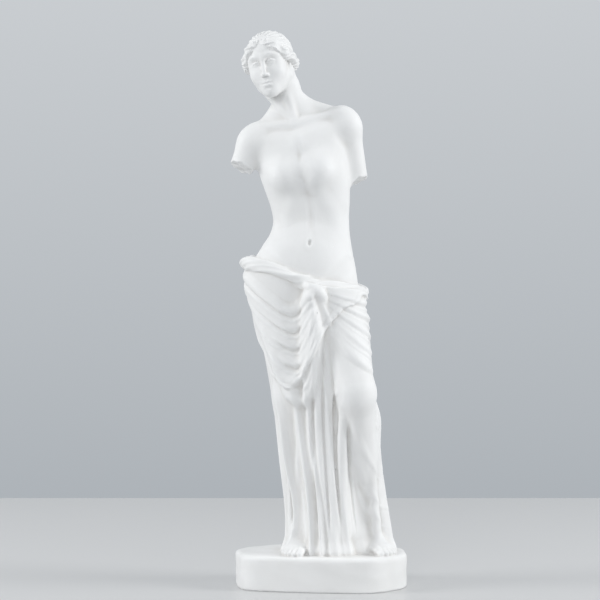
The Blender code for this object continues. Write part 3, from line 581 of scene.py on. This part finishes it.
# The mantle: the skirt, the legs under it and the folds that stand out from it
mantle = {
    "rollRadius": 3.6,
    "knot": spot(-3.4, -20.0, 138.5),
    "pipeDepth": 2.3,
    "pipesAround": 8.5,
    "rollMiddle": 147.5,
    "hemLevel": 141,  # of the overfold, which dips over the right thigh and at the back
    "hemDip": 53,
    "hemBackDip": 8,
    "hemWave": 1.5,
    "rows": [
        (0, 9.0, 3.5, 29.0, 19.0, 20.0, 2.3, 0, 0),
        (7, 8.5, 3.5, 27.8, 18.2, 19.0, 2.3, 0, 0),
        (25, 7.0, 3.0, 25.5, 16.0, 18.0, 2.3, 0, 0),
        (50, 4.0, 2.5, 24.5, 15.0, 17.5, 2.3, 0, 0),
        (80, 0.5, 2.0, 25.0, 15.2, 17.5, 2.3, 0, 2),
        (105, -3.0, 2.0, 27.0, 16.2, 18.5, 2.3, -2, 4),
        (125, -6.0, 2.0, 29.3, 17.2, 20.5, 2.3, -4, 6),
        (142, -8.0, 1.5, 30.8, 18.2, 21.6, 2.3, -6, 6),
        (152, -8.5, 1.0, 30.4, 18.0, 21.4, 2.3, -6, 6),
        (160, -8.2, 0.6, 27.0, 15.6, 17.6, 2.3, -6, 6),
    ],
}
skirtLoft = Loft(mantle["rows"])
knotCentre = mantle["knot"]


def legLumps():
    return [
        Rope([(-20, -1, 146), (-14.5, -6, 84)], [14.6, 10.0], 6),
        Rope([(-14.5, -6, 84), (-8, 1, 8)], [9.6, 7.6], 5),
        Rope([(7, -3, 144), (18, -21, 88)], [15.2, 10.2], 6),
        Ball((18.4, -21.5, 85), (9.4, 8.6, 10.5), 5),
        Rope([(19, -20.5, 82), (26, 3, 10)], [9.0, 6.8], 5),
        Ball((21, -6, 58), (8.5, 10, 18), 8, turned(x=-20)),
        Rope([(14, 2, 120), (21, 4, 70)], [11.0, 9.0], 8),
        Rope([(21, 4, 70), (26, 8, 20)], [9.0, 8.5], 8),
        Rope([(8.5, -11, 96), (10.5, -12, 14)], [6.4, 7.0], 5),
        Rope([(-6.6, -10.6, 100), (-3.4, -10.4, 10)], [5.6, 6.4], 5),
    ]


def knotLumps():
    over = ((-4.6, 0.6, 4.0), (-1.0, -3.4, 2.2), (3.2, -3.0, -1.4), (4.4, 0.4, -4.4))
    under = ((4.8, 0.8, 3.4), (2.6, -2.0, 3.2), (-1.4, -3.2, -0.8), (-3.4, -0.6, -4.6))
    return [
        Ball(knotCentre, (4.6, 4.0, 5.2), 1.4, turned(y=18)),
        Rope([knotCentre + spot(*at) for at in over], [1.2, 1.9, 1.9, 1.2], 0.7, count=8),
        Rope([knotCentre + spot(*at) for at in under], [1.0, 1.5, 1.6, 1.0], 0.7, count=8),
    ]


def fallingFold(points, radii, melt=2.4):
    return Rope([spot(*at) for at in points], radii, melt, count=9)


def foldLumps():
    folds = []
    for top, kneeX, footX, kneeY, footY, radius in (
        (-2.6, -6.4, -5.6, -16.6, -15.0, 2.4),
        (0.2, -1.4, 0.6, -18.4, -17.4, 2.7),
        (2.8, 3.6, 6.8, -18.2, -18.4, 2.5),
    ):
        path = [knotCentre + spot(top, -0.6, -3.0), (kneeX * 0.85, kneeY - 1.6, 112), (kneeX, kneeY, 75)]
        path += [(footX, footY, 30), (footX + 0.5, footY - 1.6, 3)]
        folds.append(fallingFold(path, [1.5, radius, radius, radius + 0.5, radius + 1.2]))
    for x, kneeY, footY in ((-4.0, -15.8, -14.6), (1.2, -16.4, -16.0)):
        path = [(x, kneeY, 110), (x, kneeY, 75), (x + 1.6, footY, 30), (x + 2.0, footY - 1.4, 3)]
        folds.append(fallingFold(path, [2.4, 2.6, 3.2, 4.0], 3.0))
    overShin = ((-12.5, -15.6, 92), (-12.5, -13.6, 60), (-11.4, -10.6, 32), (-10.6, -9.4, 16))
    besideKnee = ((11.4, -23, 84), (11.4, -20.7, 64), (11.5, -18.5, 38), (12.6, -17.8, 3))
    for points, radii, melt in (
        (((-9, -12.2, 94), (-8.8, -12.2, 60), (-8, -11.2, 30), (-7.4, -12.4, 3)), (2.4, 3.0, 3.4, 4.2), 3.0),
        (((-22, -9, 100), (-19.5, -9.8, 64), (-16.2, -8.4, 28), (-16.4, -10.5, 3)), (1, 2, 2.5, 3.4), 3.0),
        (overShin, (0.8, 1.7, 0.8), 3.0),
        (besideKnee, (1.3, 2.5, 2.5, 3.5), 2.4),
        (((24.5, -22, 80), (25.5, -16.7, 60), (27.5, -11.5, 38), (30.5, -9, 3)), (1.3, 2.6, 2.6, 3.6), 2.4),
        (((27, -15, 92), (28.2, -10, 72), (30.5, -5, 38), (35, -3, 3)), (1.3, 2.8, 2.8, 3.8), 2.4),
    ):
        folds.append(fallingFold(points, radii, melt))
    return folds


def rollLevel(angle):
    front = 5.0 * hill(angle / 0.9)
    back = 2.0 * hill((np.abs(angle) - math.pi) / 0.8)
    return mantle["rollMiddle"] - 4.5 * np.sin(angle) - front + back


def rollRopes():
    around = np.linspace(-180, 180, 37)
    path = [skirtLoft.point(rollLevel(math.radians(degrees)), degrees, 1.0) for degrees in around]
    return [Rope(path, [mantle["rollRadius"], mantle["rollRadius"]], 1.0)]


def foldLines(across, level, lines, width, height, above=1.0, taper=0.3):  # several raised lines
    relief = np.zeros(len(across))
    for line in lines:
        relief = np.maximum(relief, ridge(across, level, line, width, height, clothArc, above, taper))
    return relief


def swagLine(k):  # from the right hip down across the thigh and up to the knot
    hip = -112 + 10 * k
    return [
        (hip, rollLevel(math.radians(hip)) - 5 - 2 * k),
        (-78 + 6 * k, 141 - 10.5 * k),
        (-36 + 3 * k, 127.5 - 9 * k),
        (-9 + 1.2 * k, 133 - 5.5 * k),
        (4, 140 - 2 * k),
    ]


def fanLine(degrees, end, top):  # from the knot over the bent leg to the left hip
    return [
        (9, top),
        (9 + 0.36 * (degrees - 9), 137 - 0.62 * (140 - end)),
        (9 + 0.7 * (degrees - 9), 138 - 0.87 * (140 - end)),
        (degrees, end),
    ]


def thighFolds(across, level):
    relief = np.zeros(len(across))
    for k in range(6):
        width, height = 3.0 + 0.35 * k, 1.7 + 0.22 * k
        relief = np.maximum(relief, foldLines(across, level, [swagLine(k)], width, height, 1.8, 0.15))
    for k, (degrees, end) in enumerate([(118, 139), (110, 128), (96, 116), (75, 105), (55, 96)]):
        fan = [fanLine(degrees, end, 141 - 1.5 * k)]
        relief = np.maximum(relief, foldLines(across, level, fan, 2.8 + 0.15 * k, 1.15, 1.35, 0.34))
    return relief


def smallFolds(across, level):
    between = [swagLine(k) for k in (0.55, 1.5, 2.45, 3.5, 4.45)]
    relief = foldLines(across, level, between, 1.7, 0.62, 1.4)
    upper = []
    for k in (0.2, 1.2, 2.1):
        line = swagLine(k)
        upper.append(line[:3] + [(line[3][0] - 9, line[3][1] - 3)])
    relief = np.maximum(relief, foldLines(across, level, upper, 1.3, 0.36, taper=0.45))
    ends = [(114, 133.5, 140.5), (103, 122, 138.5), (86, 111, 137), (64, 102, 135.5)]
    fans = [fanLine(*end) for end in ends]
    relief = np.maximum(relief, foldLines(across, level, fans, 1.6, 0.55, taper=0.4))
    overShin = [
        [(19, 86), (27, 70), (41, 53), (62, 41), (84, 37)],
        [(24, 70), (33, 50), (49, 33), (70, 24), (90, 24)],
        [(31, 50), (42, 31), (60, 17), (82, 11)],
        [(46, 78), (56, 70), (68, 66), (80, 68)],
    ]
    relief += foldLines(across, level, overShin, 1.8, 0.42, 1.5, 0.45)
    fromKnot = [[(2, 134), (-4, 124), (-14, 113 - k)] for k in (0, 9)] + [[(11, 134), (16, 124), (18, 108)]]
    relief += foldLines(across, level, fromKnot, 1.5, 0.5, taper=0.4)
    creases = [
        [(0, 112), (-16, 75), (-21, 52), (-24, 30), (-26, 5)],
        [(9, 112), (-2, 75), (-5, 52), (-7, 30), (-8, 5)],
        [(18, 94), (14, 75), (10, 52), (6.5, 30), (5, 5)],
        [(25, 76), (28, 50), (30.4, 30), (31.5, 6)],
    ]
    return relief - foldLines(across, level, creases, 1.5, 0.85, taper=0.25)


def pleat(phase):
    return np.sqrt(np.sin(phase) ** 2 + 0.09)


def pleatPhase(angle, level):
    wander = 1.3 * np.sin(3 * angle + 1) + 0.45 * np.sin(7 * angle + 2)
    lean = (level - 60) * 0.006
    return mantle["pipesAround"] * angle + wander + 0.5 * np.sin(level / 26 + 2 * angle) + lean


def overfoldEdge(angle):
    dip = mantle["hemDip"] * hill((angle + 0.72) / 0.98)
    back = mantle["hemBackDip"] * hill((np.abs(angle) - math.pi) / 0.9)
    wave = mantle["hemWave"] * np.cos(2 * pleatPhase(angle, 100)) * step(np.abs(angle), 0.3, 1.0)
    return mantle["hemLevel"] - dip - back - wave


def aboveOverfoldEdge(angle, level):
    reach = 0.02
    slope = (overfoldEdge(angle + reach) - overfoldEdge(angle - reach)) / (2 * reach * clothArc)
    return (level - overfoldEdge(angle)) / np.sqrt(1 + slope * slope)


def finePleats(angle, level, depth):  # narrow pleats on the pipes, here and there
    phase = pleatPhase(angle, level)
    narrow = 0.62 - 1.1 * pleat(2 * phase + 0.9 + 0.8 * np.sin(level / 23 + 3 * angle))
    here = step(np.sin(level / 37 + 5 * angle) + 0.5 * np.sin(level / 17 - 2 * angle), -1.0, 0.5)
    return narrow * here * depth


def cascadePleats(angle, level):  # fine crimps down the fall of cloth between the legs
    crimp = 0.6 - 1.15 * pleat(21 * angle + 0.9 * np.sin(level / 19 + 2 * angle) + level / 33)
    return 0.36 * crimp * hill((angle + 0.02) / 0.42, 4)


def mantleDistance(points):
    level, angle, away, radius = skirtLoft.around(points)
    field = fused(skirtLoft.distance(level, away, radius), points, mantleLumps)
    across = angle * clothArc
    off = aboveOverfoldEdge(angle, level)
    overKnee = hill((angle - 0.62) / 0.62) * step(level, -10, 10)
    overCascade = hill((angle - 0.05) / 0.35)
    depth = 0.5 + mantle["pipeDepth"] * step(150 - level, 10, 125)
    depth *= 1 - 0.96 * np.maximum(overKnee, overCascade)
    depth *= 1 - (0.5 + 0.45 * hill((angle + 0.75) / 0.8)) * step(off, -2, 4)
    relief = depth * (0.66 - 1.15 * pleat(pleatPhase(angle, level)))
    relief += finePleats(angle, level, depth * 0.4)
    relief += cascadePleats(angle, level) * (1 - step(off, -3, 1))
    relief += step(off, -0.8, 0.8) * (1.2 + 0.8 * np.exp(-np.maximum(off, 0) / 4))
    relief -= 0.22 * bump((off - 2.4) / 0.7)
    relief += 1.6 * step(9 - points[:, 2], 0, 9)
    field -= relief + thighFolds(across, level) + smallFolds(across, level)
    up, out = (level - rollLevel(angle)) * 0.85, away - radius - 0.7
    turn = np.arctan2(out, up)
    twist = pleat(1.5 * turn + 3.5 * angle + 0.5 * np.sin(3 * angle))
    narrow = pleat(3.5 * turn + 8.5 * angle + 0.8 * np.sin(5 * angle))
    thick = mantle["rollRadius"] + 0.5 * np.sin(3 * angle + 1)
    thick += step(out, -2.5, 0.5) * (0.6 * (1 - 2 * twist) + 0.24 * (1 - 2 * narrow))
    field = np.maximum(field, level - rollLevel(angle) - 1.0)
    return melted(field, np.hypot(up, out) - thick, 0.6)


# The feet: across and along the foot, the radius at the root and at the tip of each toe
toes = (
    (-4.0, -25.4, 2.1, 1.75), (-0.9, -25.8, 1.6, 1.3), (1.7, -24.6, 1.5, 1.25),
    (4.0, -22.8, 1.45, 1.2), (6.1, -20.4, 1.4, 1.15))


def footLumps(ankle, degrees, side, lift=0.0):
    turn = turned(z=degrees)

    def onFoot(x, y, z):
        return spot(*ankle) + turn @ spot(x * side, y, z)

    lumps = [
        Rope([onFoot(0, 2, 8), onFoot(0.3, -12, 4.6)], [5.6, 4.2], 3),
        Ball(onFoot(0.6, -15.5, 3.0), (6.6, 6.0, 3.2), 2.5, turn),
        Ball(onFoot(0, 6, 4 + lift), (5, 6, 5), 3, turn),
    ]
    for x, y, root, tip in toes:
        knuckle = onFoot(x * 0.97, y + 4, 2.5)
        lumps.append(Rope([onFoot(x * 0.9, -16, 2.6), knuckle], [root, root], 1.0))
        lumps.append(Rope([knuckle, onFoot(x, y, 1.4)], [root * 0.95, tip], 0.5))
    return lumps


# The plinth: its outline as shares of half its width and half its depth
plinth = {
    "width": 0.092,
    "depth": 0.063,
    "thickness": 0.018,
    "corner": 0.007,
    "topRounding": 0.0025,
    "forward": 1.5,
    "underRounding": 0.0012,
    "underCut": 0.0001,
    "outline": [
        (-1.0, 0.43), (-1.0, -0.21), (-0.89, -0.65), (0.0, -1.0), (0.61, -1.0),
        (1.0, -0.4), (1.0, 0.49), (0.61, 1.0), (-0.52, 1.0)],
}
plinthUnder = -plinth["thickness"] / partLength - plinth["underCut"] / partLength


def plinthCorners():
    half = np.array((plinth["width"], plinth["depth"])) / partLength / 2
    return np.array(plinth["outline"]) * half - (0, plinth["forward"])


def plinthDistance(points):
    corners = plinthCorners()
    field = np.full(len(points), -1e3)
    x, y, z = points.T
    uneven = 0.12 * np.sin(x * 0.31 + z * 0.2) * np.sin(y * 0.27 + 1)
    uneven += 0.07 * np.sin(z * 0.6 + x * 0.13 - y * 0.21)
    for start, end in zip(corners, np.roll(corners, -1, axis=0)):
        run = end - start
        outward = np.array((run[1], -run[0])) / np.linalg.norm(run)
        side = (points[:, :2] - start) @ outward + uneven
        field = pared(field, side, plinth["corner"] / partLength)
    field = pared(field, z + uneven * 0.8, plinth["topRounding"] / partLength)
    return pared(field, plinthUnder - z, plinth["underRounding"] / partLength)


def blockPlinth(cage):
    piece = bmesh.new()
    ring = [piece.verts.new((x, y, plinthUnder)) for x, y in plinthCorners()]
    bottom = bmesh.ops.contextual_create(piece, geom=ring)["faces"]
    risen = bmesh.ops.extrude_face_region(piece, geom=bottom)["geom"]
    top = [item for item in risen if isinstance(item, bmesh.types.BMVert)]
    bmesh.ops.translate(piece, verts=top, vec=(0, 0, -plinthUnder))
    bmesh.ops.recalc_face_normals(piece, faces=piece.faces)
    joinInto(cage, piece)


torsoParts = torsoLumps()
faceParts = faceLumps()
hairParts = hairLumps()
mantleLumps = legLumps() + knotLumps() + foldLumps()
footParts = footLumps((-9, 0, 0), -14, -1) + footLumps((26.5, 2, 0), 20, 1, 3)


def torsoDistance(points):
    level, angle, away, radius = torsoLoft.around(points)
    field = fused(torsoLoft.distance(level, away, radius), points, torsoParts)
    field -= torsoRelief(level, angle) * step(6 - np.abs(field), 0, 3)
    for arm in (rightStump, leftStump):
        near = ((points - arm["at"]) ** 2).sum(1) < castStatue["armReach"] ** 2
        if near.any():
            field[near] = melted(field[near], stumpDistance(points[near], arm), 5.0)
    return field


def headDistance(points):
    face = fused(nothing(points), points, faceParts, farAway)
    locks = fused(nothing(points), points, hairParts, farAway)
    locks -= hairRelief((points - headCentre) @ headTurn)
    return melted(face, locks, 0.5)


def statueDistance(points):
    field = nothing(points)
    upper = points[:, 2] > castStatue["torsoFrom"]
    field[upper] = torsoDistance(points[upper])
    head = ((points - headCentre) ** 2).sum(1) < castStatue["headReach"] ** 2
    if head.any():
        field[head] = melted(field[head], headDistance(points[head]), 1.5)
    lower = points[:, 2] < castStatue["mantleTo"]
    field[lower] = melted(field[lower], mantleDistance(points[lower]), 1.8)
    field = fused(field, points, footParts)
    ground = points[:, 2] < castStatue["plinthTo"]
    field[ground] = melted(field[ground], plinthDistance(points[ground]), 0.8)
    return field


def cutOff(shape, at, facing):
    everything = shape.verts[:] + shape.edges[:] + shape.faces[:]
    cut = bmesh.ops.bisect_plane(shape, geom=everything, plane_co=at, plane_no=facing, clear_outer=True)
    edges = [item for item in cut["geom_cut"] if isinstance(item, bmesh.types.BMEdge)]
    bmesh.ops.holes_fill(shape, edges=edges)


def blockOut():
    cage = bmesh.new()
    torsoLoft.block(cage)
    skirtLoft.block(cage)
    for lump in torsoParts + faceParts + hairParts + mantleLumps + footParts + rollRopes():
        if not lump.cut:
            lump.block(cage)
    for arm in (rightStump, leftStump):
        piece = bmesh.new()
        for lump in arm["lumps"]:
            lump.block(piece)
        cutOff(piece, arm["at"], arm["facing"])
        joinInto(cage, piece)
    blockPlinth(cage)
    return linked("castStatue", meshFrom(cage, "castStatue"))


def applyModifier(piece, kind, **values):
    modifier = piece.modifiers.new(kind.lower(), kind)
    for name, value in values.items():
        setattr(modifier, name, value)
    bpy.context.view_layer.update()
    evaluated = piece.evaluated_get(bpy.context.evaluated_depsgraph_get())
    mesh = bpy.data.meshes.new_from_object(evaluated)
    piece.modifiers.clear()
    before, piece.data = piece.data, mesh
    bpy.data.meshes.remove(before)


def remesh(piece, grid):
    applyModifier(piece, "REMESH", mode="VOXEL", voxel_size=castStatue[grid])


def readVectors(mesh, kind="co"):
    flat = np.empty(len(mesh.vertices) * 3, np.float32)
    mesh.vertices.foreach_get(kind, flat)
    return flat.reshape(-1, 3).astype(float)


def writePoints(mesh, points):
    mesh.vertices.foreach_set("co", points.astype(np.float32).ravel())
    mesh.update()


def settle(mesh, rounds, most, reach=0.05):  # draws every vertex onto the carved surface
    points = readVectors(mesh)
    corners = np.array(((1, -1, -1), (-1, -1, 1), (-1, 1, -1), (1, 1, 1)), float)
    for _ in range(rounds):
        values = [statueDistance(points + corner * reach) for corner in corners]
        slope = sum(value[:, None] * corner for value, corner in zip(values, corners)) / (4 * reach)
        steep = np.maximum((slope**2).sum(1), 0.05)
        move = -(sum(values) / 4 / steep)[:, None] * slope
        length = np.maximum(np.linalg.norm(move, axis=1), 1e-9)
        points += move * np.minimum(1, most / length)[:, None]
    writePoints(mesh, points)


def press(mesh, rounds, most, reach=0.05):  # the same along its own normals, once it is nearly there
    points = readVectors(mesh)
    for _ in range(rounds):
        normals = readVectors(mesh, "normal")
        value = statueDistance(points)
        rise = (statueDistance(points + normals * reach) - value) / reach
        points -= np.clip(value / np.maximum(rise, 0.5), -most, most)[:, None] * normals
        writePoints(mesh, points)


def relaxed(mesh, points, rounds, share=0.5):  # each vertex part of the way to its neighbours' middle
    ends = np.empty(len(mesh.edges) * 2, np.int32)
    mesh.edges.foreach_get("vertices", ends)
    one, other = ends.reshape(-1, 2).T
    count = np.bincount(ends, minlength=len(points))
    points = points.copy()
    for _ in range(rounds):
        total = np.empty_like(points)
        for axis in range(3):
            given = np.bincount(one, points[other, axis], len(points))
            total[:, axis] = given + np.bincount(other, points[one, axis], len(points))
        points += (total / count[:, None] - points) * share
    return points


def relax(mesh, rounds, share=0.5):
    writePoints(mesh, relaxed(mesh, readVectors(mesh), rounds, share))


def refineHead(mesh):
    shape = bmesh.new()
    shape.from_mesh(mesh)
    level = castStatue["headFrom"]
    edges = [edge for edge in shape.edges if edge.verts[0].co.z > level and edge.verts[1].co.z > level]
    bmesh.ops.subdivide_edges(shape, edges=edges, cuts=1, use_grid_fill=True)
    shape.to_mesh(mesh)
    shape.free()


def levelUnderside(mesh):  # one flat face to stand on, with a crisp rim
    shape = bmesh.new()
    shape.from_mesh(mesh)
    cutOff(shape, (0, 0, -plinth["thickness"] / partLength), (0, 0, -1))
    shape.normal_update()
    for face in shape.faces:
        if face.normal.z < -0.99 and len(face.verts) > 20:
            for edge in face.edges:
                edge.smooth = False
    shape.to_mesh(mesh)
    shape.free()


def toRealSize(mesh):  # metres, standing where the solid stands
    points = readVectors(mesh) * partLength
    low, high = (np.array(corner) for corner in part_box("statue"))
    middle = (points.min(0) + points.max(0)) / 2
    points += ((low + high) / 2 - middle) * (1, 1, 0) + (0, 0, low[2] - points[:, 2].min())
    writePoints(mesh, points)


def keepHollows(mesh):  # how hollow the surface is, for the dust and painted shade in the folds and the painted highlight on the edges
    points = readVectors(mesh)
    normals = readVectors(mesh, "normal")
    for name, (rounds, reach) in castStatue["hollows"].items():
        value = ((relaxed(mesh, points, rounds) - points) * normals).sum(1)
        layer = mesh.attributes.new(name, "FLOAT", "POINT")
        layer.data.foreach_set("value", np.clip(value / reach, -1, 1).astype(np.float32))


def makeStatue():
    piece = blockOut()
    print("statue blocked out")
    remesh(piece, "firstGrid")
    settle(piece.data, rounds=5, most=2.0)
    remesh(piece, "secondGrid")
    settle(piece.data, rounds=2, most=1.0)
    relax(piece.data, rounds=2)
    settle(piece.data, rounds=1, most=0.6)
    print("large forms carved:", len(piece.data.vertices), "points")
    remesh(piece, "fineGrid")
    refineHead(piece.data)
    press(piece.data, rounds=2, most=0.5)
    relax(piece.data, rounds=1)
    press(piece.data, rounds=1, most=0.3)
    relax(piece.data, rounds=1, share=0.25)
    print("fine forms carved:", len(piece.data.vertices), "points")
    triangles = len(piece.data.polygons) * 2
    if triangles > castStatue["mostTriangles"]:
        applyModifier(piece, "DECIMATE", ratio=castStatue["mostTriangles"] / triangles)
    levelUnderside(piece.data)
    toRealSize(piece.data)
    keepHollows(piece.data)
    piece.data.shade_smooth()
    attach(piece, "root")
    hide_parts("statue")
    print("statue finished:", len(piece.data.polygons), "faces")
    return piece


# The finish: matte white casting plaster
whitePlaster = {
    "colour": (0.86, 0.858, 0.85),
    "shade": (0.76, 0.755, 0.74),
    # the colour of the dust and painted shade that darkens the hollows of the folds
    "dustAndPaintedShade": (0.66, 0.64, 0.61),
    # the colour of the painted highlight on sharp edges and crests
    "wearAndPaintedHighlight": (0.9, 0.9, 0.895),
    "roughness": 0.62,
    "roughnessSpread": 0.07,
    "rubbedSmoother": 0.12,
    "specular": 0.35,
    "mottleScale": 38,
    "dustAndPaintedShadeScale": 160,
    "roughnessScale": 220,
    "grainScale": 2600,
    "grainStrength": 0.14,
    "grainDepth": 0.00012,
    "poreScale": 1100,
    "unevenScale": 150,
    "poreStrength": 0.2,
    "poreDepth": 0.0003,
}


def newNode(nodes, kind, **values):
    node = nodes.new("ShaderNode" + kind)
    for name, value in values.items():
        node.inputs[name].default_value = value
    return node


def makePlaster():
    material = bpy.data.materials.new("whitePlaster")
    material.use_nodes = True
    nodes, links = material.node_tree.nodes, material.node_tree.links
    shader = nodes["Principled BSDF"]
    place = nodes.new("ShaderNodeTexCoord")

    def noise(scale, detail, rough=0.5):
        node = newNode(nodes, "TexNoise", Scale=scale, Detail=detail, Roughness=rough)
        links.new(place.outputs["Object"], node.inputs["Vector"])
        return node.outputs["Fac"]

    def ranged(value, low, high, toLow=0.0, toHigh=1.0):
        ends = {"From Min": low, "From Max": high, "To Min": toLow, "To Max": toHigh}
        node = newNode(nodes, "MapRange", **ends)
        links.new(value, node.inputs["Value"])
        return node.outputs["Result"]

    def feed(sockets, values):
        for socket, value in zip(sockets, values):
            if isinstance(value, bpy.types.NodeSocket):
                links.new(value, socket)
            else:
                socket.default_value = (*value, 1) if isinstance(value, tuple) else value

    def combined(kind, first, second):
        node = newNode(nodes, "Math")
        node.operation = kind
        feed(node.inputs, (first, second))
        return node.outputs["Value"]

    def mixed(share, first, second):
        node = newNode(nodes, "Mix")
        node.data_type = "RGBA"
        links.new(share, node.inputs["Factor"])
        feed([socket for socket in node.inputs if socket.type == "RGBA"], (first, second))
        return [socket for socket in node.outputs if socket.type == "RGBA"][0]

    def surface(name):
        node = nodes.new("ShaderNodeAttribute")
        node.attribute_name = name
        return node.outputs["Fac"]

    def bumped(height, strength, depth):
        node = newNode(nodes, "Bump", Strength=strength, Distance=depth)
        links.new(height, node.inputs["Height"])
        return node

    look = whitePlaster
    mottled = ranged(noise(look["mottleScale"], 5), 0.35, 0.7)
    colour = mixed(combined("MULTIPLY", mottled, 0.35), look["colour"], look["shade"])
    # Painted shade with a dust tint: the plaster turns darker in the hollows of the folds, where shade
    # falls, patchy with noise.
    hollow = ranged(surface("folds"), 0.15, 1.0, 0.0, 0.55)
    paintedShadeAndDust = combined("MULTIPLY", hollow, ranged(noise(look["dustAndPaintedShadeScale"], 4), 0.3, 0.65, 0.5, 1.0))
    colour = mixed(paintedShadeAndDust, colour, look["dustAndPaintedShade"])
    # Painted highlight: sharp edges and crests turn lighter, as if lit; the same mask makes them smoother,
    # as real rubbing would.
    wearAndPaintedHighlight = ranged(surface("edges"), -0.25, -1.0, 0.0, 0.5)
    colour = mixed(wearAndPaintedHighlight, colour, look["wearAndPaintedHighlight"])
    links.new(colour, shader.inputs["Base Color"])
    least, most = look["roughness"] - look["roughnessSpread"], look["roughness"] + look["roughnessSpread"]
    rough = ranged(noise(look["roughnessScale"], 4), 0.3, 0.7, least, most)
    rough = combined("SUBTRACT", rough, combined("MULTIPLY", wearAndPaintedHighlight, look["rubbedSmoother"]))
    links.new(rough, shader.inputs["Roughness"])
    grain = bumped(noise(look["grainScale"], 3, 0.6), look["grainStrength"], look["grainDepth"])
    pores = ranged(noise(look["poreScale"], 2), 0.25, 0.35)
    uneven = combined("MULTIPLY", noise(look["unevenScale"], 3), 0.5)
    pitted = bumped(combined("ADD", pores, uneven), look["poreStrength"], look["poreDepth"])
    links.new(grain.outputs["Normal"], pitted.inputs["Normal"])
    links.new(pitted.outputs["Normal"], shader.inputs["Normal"])
    shader.inputs["Specular IOR Level"].default_value = look["specular"]
    print("plaster made")
    return material


statuePiece = makeStatue()
statuePiece.data.materials.append(makePlaster())

# The table top, the light and the camera
setting = {
    "tableSide": 0.98,
    "tableCorner": 0.22,
    "tableColour": (0.61, 0.61, 0.608),
    "tableRoughness": 0.35,
    "wallLow": (0.40, 0.43, 0.46),
    "wallHigh": (0.57, 0.595, 0.62),
    "wallLowFrom": -0.12,  # as the sine of the height above the horizon
    "wallHighFrom": 0.22,
    "wallStrength": 1.02,
    "lightSize": 0.5,
    "lights": {  # place, aim and power
        "leftLight": ((-1.0, -0.17, 0.6), (0, 0, 0.15), 4.8),
        "rightLight": ((1.0, -0.2, 0.58), (0, 0, 0.14), 6.0),
        "frontLight": ((-0.25, -1.2, 0.7), (0, 0, 0.15), 2.6),
    },
    "halfFrame": 300,  # pixels
    "pixel": 0.00054,  # metres to a pixel at the statue
    "cameraHeight": 0.125,
    "cameraDistance": 0.83,
    "besideStatue": -0.0098,
    "frameMiddle": 0.153,
}


def makeFloor():
    shape = bmesh.new()
    bmesh.ops.create_grid(shape, x_segments=1, y_segments=1, size=setting["tableSide"] / 2)
    bmesh.ops.bevel(
        shape, geom=shape.verts[:], offset=setting["tableCorner"], offset_type="OFFSET", segments=24,
        profile=0.5, affect="VERTICES", material=-1)
    floor = linked("tableTop", meshFrom(shape, "tableTop"))
    material = bpy.data.materials.new("paleTop")
    material.use_nodes = True
    shader = material.node_tree.nodes["Principled BSDF"]
    shader.inputs["Base Color"].default_value = (*setting["tableColour"], 1)
    shader.inputs["Roughness"].default_value = setting["tableRoughness"]
    floor.data.materials.append(material)


def makeLight(name, place, aim, power):
    light = bpy.data.lights.new(name, "AREA")
    light.shape = "DISK"
    light.size = setting["lightSize"]
    light.energy = power
    lamp = linked(name, light)
    lamp.location = place
    lamp.rotation_euler = (Vector(aim) - Vector(place)).to_track_quat("-Z", "Y").to_euler()


def makeWorld():
    world = bpy.data.worlds.new("room")
    world.use_nodes = True
    nodes, links = world.node_tree.nodes, world.node_tree.links
    background = nodes["Background"]
    background.inputs["Strength"].default_value = setting["wallStrength"]
    aim = nodes.new("ShaderNodeTexCoord")  # the wall is paler higher up
    split = nodes.new("ShaderNodeSeparateXYZ")
    links.new(aim.outputs["Generated"], split.inputs["Vector"])
    ramp = nodes.new("ShaderNodeValToRGB")
    for stop, colour in zip(ramp.color_ramp.elements, (setting["wallLow"], setting["wallHigh"])):
        stop.color = (*colour, 1)
    ends = {"From Min": setting["wallLowFrom"], "From Max": setting["wallHighFrom"]}
    height = newNode(nodes, "MapRange", **ends)
    links.new(split.outputs["Z"], height.inputs["Value"])
    links.new(height.outputs["Result"], ramp.inputs["Fac"])
    links.new(ramp.outputs["Color"], background.inputs["Color"])
    bpy.context.scene.world = world


def makeCamera():
    camera = bpy.data.cameras.new("camera")
    camera.sensor_width = 36
    camera.angle = 2 * math.atan(setting["halfFrame"] * setting["pixel"] / setting["cameraDistance"])
    holder = linked("camera", camera)
    start = Vector((setting["besideStatue"], -setting["cameraDistance"], setting["cameraHeight"]))
    aim = Vector((setting["besideStatue"], 0, setting["frameMiddle"]))
    holder.location = start
    holder.rotation_euler = (aim - start).to_track_quat("-Z", "Y").to_euler()
    bpy.context.scene.camera = holder


makeFloor()
makeWorld()
for name, (place, aim, power) in setting["lights"].items():
    makeLight(name, place, aim, power)
makeCamera()
bpy.context.scene.view_settings.view_transform = "Standard"
print("light and camera set")
